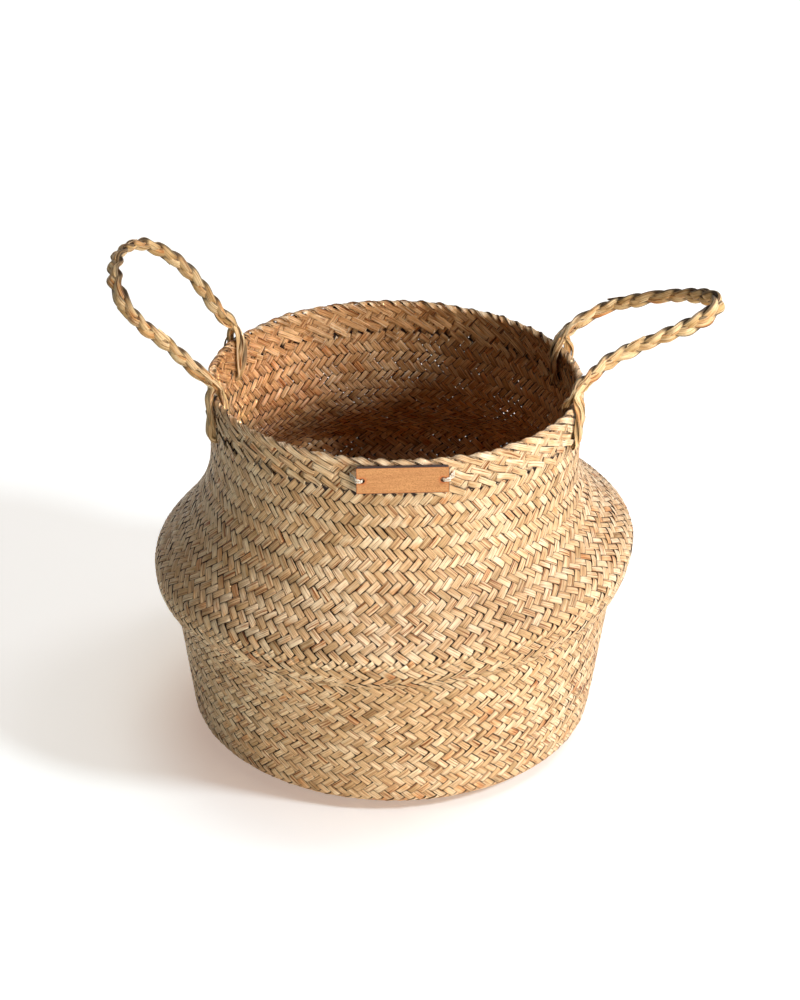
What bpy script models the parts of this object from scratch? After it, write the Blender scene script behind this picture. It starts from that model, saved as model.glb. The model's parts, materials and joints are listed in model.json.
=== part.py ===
"""Belly basket: a soft woven basket with a folded belly, two rope handles and a small wooden tag.

Metres, +Z up. The origin is the centre of the flat underside, the front with the tag faces -Y, and
the handles stand on -X and +X. Run it in Blender to get one object for each piece of the basket.
"""
import math

import bmesh
import bpy
from mathutils import Matrix, Vector

# Woven body, outer surface
BASE_RADIUS = 0.100
FOOT_RADIUS = 0.1364
FOOT_HEIGHT = 0.014
CREASE_DEPTH = 0.0115
CREASE_HEIGHT = 0.106
BELLY_RADIUS = 0.160
BELLY_HEIGHT = 0.1286
NECK_RADIUS = 0.1205
NECK_HEIGHT = 0.200
RIM_HEIGHT = 0.248
WALL = 0.0024
BELLY_LEAN = 0.0108
LEAN_REACH = 0.040

# Folded border over the neck's edge
BORDER_HEIGHT = 0.020
BORDER_LEAF = 0.0012

# Rope handles, and the eyes that tie them to the rim
ROPE_RADIUS = 0.0042
ROPE_END_RADIUS = 0.0026
EYE_RADIUS = 0.0026
EYE_HOLE_DROP = 0.028
EYE_ARCH_RISE = 0.0064
EYE_HOLE_CLEARANCE = 0.0006
PIVOT_CLEARANCE = 0.0007
LEFT_REACH = 0.094
RIGHT_REACH = 0.103
LEFT_ANGLES = (math.radians(199.0), math.radians(154.0))
RIGHT_ANGLES = (math.radians(-21.0), math.radians(23.5))
LEFT_LIFT = math.radians(45.0)
RIGHT_LIFT = math.radians(26.0)
LEFT_TWIST = math.radians(8.0)
RIGHT_TWIST = math.radians(0.0)

# Wooden tag and its two ties
TAG_LENGTH = 0.056
TAG_WIDTH = 0.0175
TAG_THICKNESS = 0.0026
TAG_CORNER = 0.0012
TAG_DROP = 0.010
TAG_AZIMUTH = math.radians(-87.7)
TAG_ROLL = math.radians(1.2)
TAG_HOLE_RADIUS = 0.0015
TAG_HOLE_INSET = 0.0037
TIE_RADIUS = 0.0006

# Clearance between pieces that touch, and how far a cutter runs past what it cuts
FIT_GAP = 0.0003
CUT_OVERRUN = 0.004

# Counts
TURN_SEGMENTS = 64
FOOT_STEPS = 4
LOWER_STEPS = 3
BELLY_STEPS = 4
SHOULDER_STEPS = 10
SHOULDER_SPLIT_STEP = 8
BORDER_ARC_STEPS = 4
ROPE_POINTS = 33
ROPE_END_STEPS = 3
EYE_ARC_STEPS = 6
HOLE_SIDES = 16

# Shapes without a size of their own: shares of the sizes that they follow
SHOULDER_LIFT_SHARES = (0.60, 1.98)
LEFT_LOOP_SHARES = ((-1.0, 0.0), (-1.02, 0.13), (-1.0, 0.28), (-0.97, 0.46), (-1.0, 0.64), (-0.86, 0.81),
                    (-0.50, 0.95), (0.02, 1.0), (0.48, 0.94), (0.82, 0.82), (1.02, 0.66), (1.10, 0.48),
                    (1.04, 0.30), (0.93, 0.14), (1.0, 0.0))
RIGHT_LOOP_SHARES = ((-1.0, 0.0), (-0.72, 0.12), (-0.48, 0.26), (-0.40, 0.42), (-0.42, 0.60), (-0.43, 0.77),
                     (-0.36, 0.91), (-0.12, 1.0), (0.18, 0.95), (0.56, 0.82), (0.86, 0.67), (1.10, 0.50),
                     (1.25, 0.32), (1.18, 0.14), (1.0, 0.0))

STRAW = (0.58, 0.44, 0.27)
DARK_STRAW = (0.50, 0.37, 0.22)
ROPE_STRAW = (0.60, 0.47, 0.29)
PLYWOOD = (0.78, 0.55, 0.32)
THREAD = (0.88, 0.86, 0.80)


def clear_scene():
    """Removes every object, so that a second run starts from nothing."""
    for item in list(bpy.data.objects):
        bpy.data.objects.remove(item, do_unlink=True)


def add_material(item, colour, roughness):
    """Gives the object its own plain material."""
    material = bpy.data.materials.new(item.name)
    material.use_nodes = True
    shader = material.node_tree.nodes["Principled BSDF"]
    shader.inputs["Base Color"].default_value = (*colour, 1.0)
    shader.inputs["Roughness"].default_value = roughness
    shader.inputs["Metallic"].default_value = 0.0
    item.data.materials.clear()
    item.data.materials.append(material)


def add_object(name, data, colour, roughness=0.7, matrix=None):
    """Links a finished mesh or curve as one named piece."""
    item = bpy.data.objects.new(name, data)
    bpy.context.scene.collection.objects.link(item)
    if matrix is not None:
        item.matrix_world = matrix
    add_material(item, colour, roughness)
    return item


def lean(x, height):
    """Lifts the belly on the right side and lowers it on the left, fading away from its height."""
    share = (height - BELLY_HEIGHT) / LEAN_REACH
    return BELLY_LEAN * (x / BELLY_RADIUS) * math.exp(-share * share)


def foot_outline():
    """The rounded turn from the flat underside up into the wall."""
    points = []
    for step in range(FOOT_STEPS + 1):
        turn = math.pi / 2 * step / FOOT_STEPS
        points.append((BASE_RADIUS + (FOOT_RADIUS - BASE_RADIUS) * math.sin(turn),
                       FOOT_HEIGHT * (1 - math.cos(turn))))
    return points


def lower_outline():
    """The lower wall, which widens up to the crease under the belly."""
    points = []
    crease_radius = BELLY_RADIUS - CREASE_DEPTH
    for step in range(1, LOWER_STEPS + 1):
        share = step / LOWER_STEPS
        points.append((FOOT_RADIUS + (crease_radius - FOOT_RADIUS) * share,
                       FOOT_HEIGHT + (CREASE_HEIGHT - FOOT_HEIGHT) * share))
    return points


def belly_outline():
    """A quarter ellipse from the crease out to the widest ring."""
    points = []
    for step in range(1, BELLY_STEPS + 1):
        turn = math.pi / 2 * step / BELLY_STEPS
        points.append((BELLY_RADIUS - CREASE_DEPTH * (1 - math.sin(turn)),
                       BELLY_HEIGHT - (BELLY_HEIGHT - CREASE_HEIGHT) * math.cos(turn)))
    return points


def shoulder_outline():
    """The curve from the widest ring in to the upright neck."""
    start_share, end_share = SHOULDER_LIFT_SHARES
    points = []
    for step in range(1, SHOULDER_STEPS + 1):
        t = step / SHOULDER_STEPS
        ease = t * t * (3 - 2 * t)
        rise = start_share * t * (1 - t) ** 2 + ease - end_share * t * t * (1 - t)
        points.append((BELLY_RADIUS + (NECK_RADIUS - BELLY_RADIUS) * ease,
                       BELLY_HEIGHT + (NECK_HEIGHT - BELLY_HEIGHT) * rise))
    return points


def body_outline():
    """The whole outer outline, foot to rim, and the index where each zone of the weave ends."""
    outline = foot_outline() + lower_outline()
    crease = len(outline) - 1
    outline += belly_outline()
    widest = len(outline) - 1
    outline += shoulder_outline()
    split = widest + SHOULDER_SPLIT_STEP
    outline.append((NECK_RADIUS, RIM_HEIGHT - BORDER_LEAF - FIT_GAP))
    return outline, {"crease": crease, "widest": widest, "split": split, "top": len(outline) - 1}


def outline_direction(outline, index):
    """The outline's direction at a point, between its neighbours, or straight up or level at its ends."""
    if index == 0:
        return Vector((1.0, 0.0))
    if index == len(outline) - 1:
        return Vector((0.0, 1.0))
    before = (Vector(outline[index]) - Vector(outline[index - 1])).normalized()
    after = (Vector(outline[index + 1]) - Vector(outline[index])).normalized()
    return (before + after).normalized()


def zone_section(outline, first, last):
    """The closed section of one zone: out along the outline and back inside it, with gaps at its ends."""
    outer, inner = [], []
    for index in range(first, last + 1):
        along = outline_direction(outline, index)
        point = Vector(outline[index])
        if index == first and first > 0:
            point += along * (FIT_GAP / 2)
        if index == last and last < len(outline) - 1:
            point -= along * (FIT_GAP / 2)
        outer.append(point)
        inner.append(point + Vector((-along.y, along.x)) * WALL)
    return outer + inner[::-1]


def turned_mesh(name, section):
    """Spins a closed section round the Z axis, and leans the result with the belly."""
    mesh = bmesh.new()
    corners = [mesh.verts.new((radius, 0.0, height)) for radius, height in section]
    edges = [mesh.edges.new((a, b)) for a, b in zip(corners, corners[1:] + corners[:1])]
    bmesh.ops.spin(mesh, geom=corners + edges, cent=(0.0, 0.0, 0.0), axis=(0.0, 0.0, 1.0),
                   angle=2 * math.pi, steps=TURN_SEGMENTS, use_merge=True)
    for vertex in mesh.verts:
        vertex.co.z += lean(vertex.co.x, vertex.co.z)
    return finished_mesh(name, mesh)


def finished_mesh(name, mesh):
    """Turns the faces outwards, shades the round faces smooth and returns the mesh data."""
    bmesh.ops.recalc_face_normals(mesh, faces=mesh.faces)
    data = bpy.data.meshes.new(name)
    mesh.to_mesh(data)
    mesh.free()
    data.shade_smooth()
    data.set_sharp_from_angle(angle=math.radians(40.0))
    return data


def build_base():
    """The flat mat that the basket stands on, inside the turn of the wall."""
    mesh = bmesh.new()
    radius = BASE_RADIUS - FIT_GAP
    bmesh.ops.create_cone(mesh, cap_ends=True, cap_tris=False, segments=TURN_SEGMENTS, radius1=radius,
                          radius2=radius, depth=WALL, matrix=Matrix.Translation((0.0, 0.0, WALL / 2)))
    add_object("base_mat", finished_mesh("base_mat", mesh), DARK_STRAW)


def build_walls():
    """The four zones of woven wall: below the crease, the belly, its shoulder and the neck."""
    outline, marks = body_outline()
    zones = (("lower_wall", 0, marks["crease"]),
             ("belly_wall", marks["crease"], marks["widest"]),
             ("shoulder_wall", marks["widest"], marks["split"]),
             ("neck_wall", marks["split"], marks["top"]))
    walls = {}
    for name, first, last in zones:
        walls[name] = add_object(name, turned_mesh(name, zone_section(outline, first, last)), STRAW)
    return walls


def border_middle():
    """The radius at the middle of the neck's wall, which the border and the eyes straddle."""
    return NECK_RADIUS - WALL / 2


def border_half():
    """Half the thickness of the border with the wall inside it."""
    return WALL / 2 + FIT_GAP + BORDER_LEAF


def build_border():
    """The strands folded over the edge: a ring with a round top and two leaves round the wall."""
    middle, half = border_middle(), border_half()
    slot = WALL / 2 + FIT_GAP
    low, shoulder = RIM_HEIGHT - BORDER_HEIGHT, RIM_HEIGHT - half
    section = [(middle + half, low)]
    for step in range(BORDER_ARC_STEPS + 1):
        turn = math.pi * step / BORDER_ARC_STEPS
        section.append((middle + half * math.cos(turn), shoulder + half * math.sin(turn)))
    section += [(middle - half, low), (middle - slot, low), (middle - slot, RIM_HEIGHT - BORDER_LEAF),
                (middle + slot, RIM_HEIGHT - BORDER_LEAF), (middle + slot, low)]
    add_object("rim_border", turned_mesh("rim_border", section), DARK_STRAW)


def tube_curve(name, points, radius, closed=False, shares=None, resolution=2):
    """A round tube along the points; shares, if given, thin it point by point."""
    curve = bpy.data.curves.new(name, "CURVE")
    curve.dimensions = "3D"
    curve.bevel_depth = radius
    curve.bevel_resolution = resolution
    curve.use_fill_caps = not closed
    spline = curve.splines.new("POLY")
    spline.points.add(len(points) - 1)
    for index, point in enumerate(points):
        spline.points[index].co = (*point, 1.0)
        spline.points[index].radius = 1.0 if shares is None else shares[index]
    spline.use_cyclic_u = closed
    spline.use_smooth = True
    return curve


def eye_half():
    """How far each leg of an eye stands from the middle of the wall."""
    return border_half() + FIT_GAP + EYE_RADIUS


def eye_points():
    """An eye's closed centreline, over the rim and through the wall, as (out from the wall, height)."""
    half = eye_half()
    arch = RIM_HEIGHT - border_half()
    points = []
    for step in range(EYE_ARC_STEPS + 1):
        turn = math.pi * step / EYE_ARC_STEPS
        points.append((half * math.cos(turn), arch + EYE_ARCH_RISE * math.sin(turn)))
    for step in range(EYE_ARC_STEPS + 1):
        turn = math.pi + math.pi * step / EYE_ARC_STEPS
        points.append((half * math.cos(turn), RIM_HEIGHT - EYE_HOLE_DROP + half + half * math.sin(turn)))
    return points


def radial_matrix(azimuth):
    """Turns local +X outwards at an azimuth of the basket."""
    return Matrix.Rotation(azimuth, 4, "Z")


def build_eye(name, azimuth, neck):
    """One rope eye that ties a handle's end to the rim, and its hole through the neck."""
    points = [(border_middle() + out, 0.0, height) for out, height in eye_points()]
    add_object(name, tube_curve(name, points, EYE_RADIUS, closed=True), ROPE_STRAW,
               matrix=radial_matrix(azimuth))
    cutter_mesh = bmesh.new()
    radius = EYE_RADIUS + EYE_HOLE_CLEARANCE
    length = WALL + 2 * CUT_OVERRUN
    bmesh.ops.create_cone(cutter_mesh, cap_ends=True, segments=HOLE_SIDES, radius1=radius, radius2=radius,
                          depth=length, matrix=Matrix.Rotation(math.pi / 2, 4, "Y"))
    place = radial_matrix(azimuth) @ Matrix.Translation((border_middle(), 0.0, RIM_HEIGHT - EYE_HOLE_DROP))
    cutter = add_object(name + "_hole", finished_mesh(name + "_hole", cutter_mesh), ROPE_STRAW, matrix=place)
    cut_hole(neck, cutter)


def cut_hole(item, cutter):
    """Cuts one object out of another, and keeps the cutter as a hidden guide."""
    cutter.hide_render = True
    cutter.display_type = "WIRE"
    cut = item.modifiers.new(cutter.name, "BOOLEAN")
    cut.operation = "DIFFERENCE"
    cut.solver = "EXACT"
    cut.object = cutter


def pivot_height():
    """The height of a handle's hinge line: its rounded ends clear the tops of the eyes."""
    eye_top = RIM_HEIGHT - border_half() + EYE_ARCH_RISE + EYE_RADIUS
    return eye_top + PIVOT_CLEARANCE + ROPE_END_RADIUS


def rim_point(azimuth):
    """A point of the hinge line, above the middle of the wall."""
    return Vector((border_middle() * math.cos(azimuth), border_middle() * math.sin(azimuth), pivot_height()))


def smooth_route(points, count):
    """Evenly numbered points on a smooth curve through the given ones (Catmull-Rom)."""
    points = [Vector(point) for point in points]
    padded = [2 * points[0] - points[1]] + points + [2 * points[-1] - points[-2]]
    route = []
    for number in range(count):
        place = number / (count - 1) * (len(points) - 1)
        index = min(int(place), len(points) - 2)
        t = place - index
        a, b, c, d = padded[index:index + 4]
        route.append((2 * b + (c - a) * t + (2 * a - 5 * b + 4 * c - d) * t ** 2
                      + (3 * b - a - 3 * c + d) * t ** 3) / 2)
    return route


def rounded_rope(route):
    """Thins a rope towards its two ends, and rounds each end about its pivot."""
    end_share = ROPE_END_RADIUS / ROPE_RADIUS
    shares = [1.0] * len(route)
    shares[0] = shares[-1] = end_share
    shares[1] = shares[-2] = (1.0 + end_share) / 2
    starts, finishes = [], []
    for step in range(ROPE_END_STEPS, 0, -1):
        turn = math.pi / 2 * step / (ROPE_END_STEPS + 0.5)
        past = ROPE_END_RADIUS * math.sin(turn)
        starts.append((route[0] + (route[0] - route[1]).normalized() * past, end_share * math.cos(turn)))
        finishes.append((route[-1] + (route[-1] - route[-2]).normalized() * past, end_share * math.cos(turn)))
    ends = starts + list(zip(route, shares)) + finishes[::-1]
    return [point for point, share in ends], [share for point, share in ends]


def build_handle(name, angles, lift, reach, twist, loop_shares):
    """One rope loop, with its origin on the hinge line through its two ends."""
    start, end = rim_point(angles[0]), rim_point(angles[1])
    middle = (start + end) / 2
    along = (end - start).normalized()
    half_chord = (end - start).length / 2
    outward = Vector((middle.x, middle.y, 0.0)).normalized()
    up = outward * math.cos(lift) + Vector((0.0, 0.0, 1.0)) * math.sin(lift)
    normal = along.cross(up)
    place = Matrix((along, up, normal)).transposed().to_4x4()
    place.translation = middle
    points = []
    for side_share, reach_share in loop_shares:
        side, out = side_share * half_chord, reach_share * reach
        points.append((side, out, side * math.tan(twist) * reach_share))
    route, shares = rounded_rope(smooth_route(points, ROPE_POINTS))
    add_object(name, tube_curve(name, route, ROPE_RADIUS, shares=shares), ROPE_STRAW, matrix=place)


def tag_matrix():
    """The tag's frame: +X along it, -Y straight out from the basket, from the basket's axis."""
    return (Matrix.Rotation(TAG_AZIMUTH + math.pi / 2, 4, "Z")
            @ Matrix.Translation((0.0, 0.0, RIM_HEIGHT - TAG_DROP)) @ Matrix.Rotation(-TAG_ROLL, 4, "Y"))


def tag_back():
    """The distance from the basket's axis to the tag's flat back."""
    return border_middle() + border_half() + FIT_GAP


def border_out(side):
    """How far out the border's face lies, at a distance to the side of the tag's middle."""
    radius = border_middle() + border_half()
    return math.sqrt(radius * radius - side * side)


def build_tag():
    """The thin wooden plate, with a hole near each end."""
    mesh = bmesh.new()
    bmesh.ops.create_cube(mesh, size=1.0)
    bmesh.ops.scale(mesh, vec=(TAG_LENGTH, TAG_THICKNESS, TAG_WIDTH), verts=mesh.verts)
    bmesh.ops.translate(mesh, vec=(0.0, -tag_back() - TAG_THICKNESS / 2, 0.0), verts=mesh.verts)
    short_edges = [edge for edge in mesh.edges
                   if abs(edge.verts[0].co.y - edge.verts[1].co.y) > TAG_THICKNESS / 2]
    bmesh.ops.bevel(mesh, geom=short_edges, offset=TAG_CORNER, segments=3, affect="EDGES", profile=0.5)
    tag = add_object("tag_plate", finished_mesh("tag_plate", mesh), PLYWOOD, 0.55, tag_matrix())
    for side in (-1, 1):
        cutter_mesh = bmesh.new()
        bmesh.ops.create_cone(cutter_mesh, cap_ends=True, segments=HOLE_SIDES, radius1=TAG_HOLE_RADIUS,
                              radius2=TAG_HOLE_RADIUS, depth=TAG_THICKNESS + 2 * FIT_GAP,
                              matrix=Matrix.Rotation(math.pi / 2, 4, "X"))
        hole_side = side * (TAG_LENGTH / 2 - TAG_HOLE_INSET)
        place = tag_matrix() @ Matrix.Translation((hole_side, -tag_back() - TAG_THICKNESS / 2, 0.0))
        name = "tag_hole_left" if side < 0 else "tag_hole_right"
        cut_hole(tag, add_object(name, finished_mesh(name, cutter_mesh), PLYWOOD, matrix=place))


def build_tie(name, side):
    """The thread through one hole of the tag, over its end and back to the border."""
    hole = TAG_LENGTH / 2 - TAG_HOLE_INSET
    past = TAG_LENGTH / 2 + FIT_GAP + TIE_RADIUS
    front = tag_back() + TAG_THICKNESS + FIT_GAP + TIE_RADIUS
    bend = 2 * TIE_RADIUS
    path = [(hole, border_out(hole) + FIT_GAP), (hole, front - bend), (hole + bend / 2, front),
            (past - bend / 2, front + bend / 2), (past + bend / 2, front - bend / 2),
            (past + bend / 2, tag_back()), (past + bend, border_out(past + bend) + FIT_GAP)]
    points = [(side * along, -out, 0.0) for along, out in path]
    add_object(name, tube_curve(name, points, TIE_RADIUS), THREAD, 0.8, tag_matrix())


def main():
    """Builds every piece of the basket."""
    clear_scene()
    build_base()
    walls = build_walls()
    build_border()
    build_eye("handle_eye_left_front", LEFT_ANGLES[0], walls["neck_wall"])
    build_eye("handle_eye_left_back", LEFT_ANGLES[1], walls["neck_wall"])
    build_eye("handle_eye_right_front", RIGHT_ANGLES[0], walls["neck_wall"])
    build_eye("handle_eye_right_back", RIGHT_ANGLES[1], walls["neck_wall"])
    build_handle("handle_rope_left", LEFT_ANGLES, LEFT_LIFT, LEFT_REACH, LEFT_TWIST, LEFT_LOOP_SHARES)
    build_handle("handle_rope_right", RIGHT_ANGLES, RIGHT_LIFT, RIGHT_REACH, RIGHT_TWIST, RIGHT_LOOP_SHARES)
    build_tag()
    build_tie("tag_tie_left", -1)
    build_tie("tag_tie_right", 1)


main()
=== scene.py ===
"""A belly basket of woven seagrass, dressed over its CAD frame.

The wall is a diagonal twill of two crossing sets of flat strands, folded over at the rim into a
border. Two plaited handles are tied through the neck, and a small wooden tag hangs on two threads.
Lengths are in metres, in the frame of the CAD model: the front faces -Y and the handles stand on X.
"""
from __future__ import annotations

import json
import logging
import math
from dataclasses import dataclass, field
from enum import Enum
from typing import Any, Callable, Sequence

import bmesh
import bpy
import numpy as np
from mathutils import Matrix, Vector

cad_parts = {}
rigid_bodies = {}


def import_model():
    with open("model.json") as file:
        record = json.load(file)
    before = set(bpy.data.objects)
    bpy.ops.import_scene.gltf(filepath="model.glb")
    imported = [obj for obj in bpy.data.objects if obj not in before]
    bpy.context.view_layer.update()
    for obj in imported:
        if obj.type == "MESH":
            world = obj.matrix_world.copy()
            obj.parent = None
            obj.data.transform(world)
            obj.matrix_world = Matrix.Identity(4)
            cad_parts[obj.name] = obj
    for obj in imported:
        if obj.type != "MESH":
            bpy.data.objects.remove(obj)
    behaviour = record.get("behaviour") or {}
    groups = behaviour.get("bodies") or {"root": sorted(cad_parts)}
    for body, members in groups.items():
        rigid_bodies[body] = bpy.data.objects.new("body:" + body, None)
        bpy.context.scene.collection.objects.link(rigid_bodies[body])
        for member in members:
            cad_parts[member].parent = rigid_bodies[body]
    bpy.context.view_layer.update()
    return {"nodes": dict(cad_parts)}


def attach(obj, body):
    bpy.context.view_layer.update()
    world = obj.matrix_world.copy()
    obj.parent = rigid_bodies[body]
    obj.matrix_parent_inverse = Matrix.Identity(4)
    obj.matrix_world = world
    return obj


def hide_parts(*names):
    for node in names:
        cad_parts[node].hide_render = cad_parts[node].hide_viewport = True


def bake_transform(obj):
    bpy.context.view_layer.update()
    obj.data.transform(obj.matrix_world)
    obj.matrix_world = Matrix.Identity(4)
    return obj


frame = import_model()

LOG = logging.getLogger("belly_basket")
Colour = tuple[float, float, float]
Array = np.ndarray


# ---- Node trees ----

class Value:
    """One output of a node tree, with arithmetic that adds its Math nodes."""

    def __init__(self, graph: "Graph", socket: bpy.types.NodeSocket) -> None:
        """Wraps a socket of the graph."""
        self.graph = graph
        self.socket = socket

    def math(self, operation: str, *others: "Value | float", clamp: bool = False) -> "Value":
        """Adds one Math node.

        Args:
            operation: The Math node's operation.
            others: The operands after this one.
            clamp: Whether the result stays between 0 and 1.

        Returns:
            The node's result.
        """
        sockets = {index: other for index, other in enumerate((self, *others))}
        return self.graph.add("ShaderNodeMath", {"operation": operation, "use_clamp": clamp}, sockets)[0]

    def __add__(self, other: "Value | float") -> "Value":
        """Adds."""
        return self.math("ADD", other)

    def __sub__(self, other: "Value | float") -> "Value":
        """Subtracts."""
        return self.math("SUBTRACT", other)

    def __rsub__(self, other: float) -> "Value":
        """Subtracts this from a number."""
        return (self * -1.0) + other

    def __mul__(self, other: "Value | float") -> "Value":
        """Multiplies."""
        return self.math("MULTIPLY", other)

    def __truediv__(self, other: "Value | float") -> "Value":
        """Divides."""
        return self.math("DIVIDE", other)

    def __neg__(self) -> "Value":
        """Changes the sign."""
        return self * -1.0

    def __abs__(self) -> "Value":
        """Drops the sign."""
        return self.math("ABSOLUTE")

    def __mod__(self, other: "Value | float") -> "Value":
        """The remainder of a division."""
        return self.math("MODULO", other)

    __radd__ = __add__
    __rmul__ = __mul__

    def ramp(self, low: float, high: float) -> "Value":
        """A smooth rise from 0 at low to 1 at high, or a fall where low is the larger.

        Args:
            low: The value at which the result is 0.
            high: The value at which the result is 1.

        Returns:
            A value between 0 and 1.
        """
        settings = {"interpolation_type": "SMOOTHSTEP"}
        if low < high:
            return self.graph.add("ShaderNodeMapRange", settings, {0: self, 1: low, 2: high, 3: 0.0, 4: 1.0})[0]
        return self.graph.add("ShaderNodeMapRange", settings, {0: self, 1: high, 2: low, 3: 1.0, 4: 0.0})[0]


class Made:
    """A node that was just added, whose outputs are read by name or number."""

    def __init__(self, graph: "Graph", node: bpy.types.Node) -> None:
        """Wraps a node of the graph."""
        self.graph = graph
        self.node = node

    def __getitem__(self, key: str | int) -> Value:
        """The output of that name or number."""
        if isinstance(key, int):
            return Value(self.graph, self.node.outputs[key])
        return Value(self.graph, pick(self.node.outputs, key))


def pick(sockets: Any, name: str) -> bpy.types.NodeSocket:
    """Finds the socket of that name that is in use.

    Args:
        sockets: A node's inputs or outputs.
        name: The socket's name.

    Returns:
        The first enabled socket with the name.
    """
    return next(socket for socket in sockets if socket.name == name and socket.enabled)


class Graph:
    """A node tree that is written as Python expressions."""

    def __init__(self, tree: bpy.types.NodeTree) -> None:
        """Starts the tree empty."""
        self.tree = tree
        tree.nodes.clear()

    def add(self, kind: str, settings: dict[str, Any] | None = None,
            sockets: dict[str | int, Any] | None = None) -> Made:
        """Adds one node of any type.

        Args:
            kind: The node's type.
            settings: Its settings, set first. The setting "stops" fills a colour ramp.
            sockets: Its inputs by name or number, each a plain value or a Value to link.

        Returns:
            The node.
        """
        node = self.tree.nodes.new(kind)
        for name, setting in (settings or {}).items():
            if name == "stops":
                elements = node.color_ramp.elements
                while len(elements) < len(setting):
                    elements.new(0.5)
                for element, (position, colour) in zip(elements, setting):
                    element.position = position
                    element.color = (*colour, 1.0)
            else:
                setattr(node, name, setting)
        for key, given in (sockets or {}).items():
            socket = node.inputs[key] if isinstance(key, int) else pick(node.inputs, key)
            if isinstance(given, Value):
                self.tree.links.new(given.socket, socket)
            else:
                socket.default_value = given
        return Made(self, node)

    def vector(self, x: Value | float, y: Value | float, z: Value | float) -> Value:
        """Joins three numbers into a vector."""
        return self.add("ShaderNodeCombineXYZ", None, {0: x, 1: y, 2: z})[0]

    def split(self, vector: Value) -> tuple[Value, Value, Value]:
        """Takes a vector apart into its three numbers."""
        made = self.add("ShaderNodeSeparateXYZ", None, {0: vector})
        return made[0], made[1], made[2]

    def noise(self, vector: Value, scale: float = 1.0, detail: float = 1.0) -> Value:
        """Soft noise between 0 and 1."""
        return self.add("ShaderNodeTexNoise", None, {"Vector": vector, "Scale": scale, "Detail": detail})[0]

    def mix(self, share: Value | float, first: Value | Colour, second: Value | Colour,
            blend: str = "MIX") -> Value:
        """Mixes two colours.

        Args:
            share: How much of the second colour shows.
            first: The colour underneath.
            second: The colour on top.
            blend: The Mix node's blend type.

        Returns:
            The mixed colour.
        """
        colours = [given if isinstance(given, Value) else (*given, 1.0) for given in (first, second)]
        settings = {"data_type": "RGBA", "blend_type": blend, "clamp_factor": True}
        return self.add("ShaderNodeMix", settings, {0: share, 6: colours[0], 7: colours[1]})[2]


def srgb(red: int, green: int, blue: int) -> Colour:
    """Turns a screen colour of 0 to 255 into the linear colour that a shader reads."""
    def channel(value: int) -> float:
        share = value / 255
        return share / 12.92 if share <= 0.04045 else ((share + 0.055) / 1.055) ** 2.4
    return channel(red), channel(green), channel(blue)


# ---- Finishes ----

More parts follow.
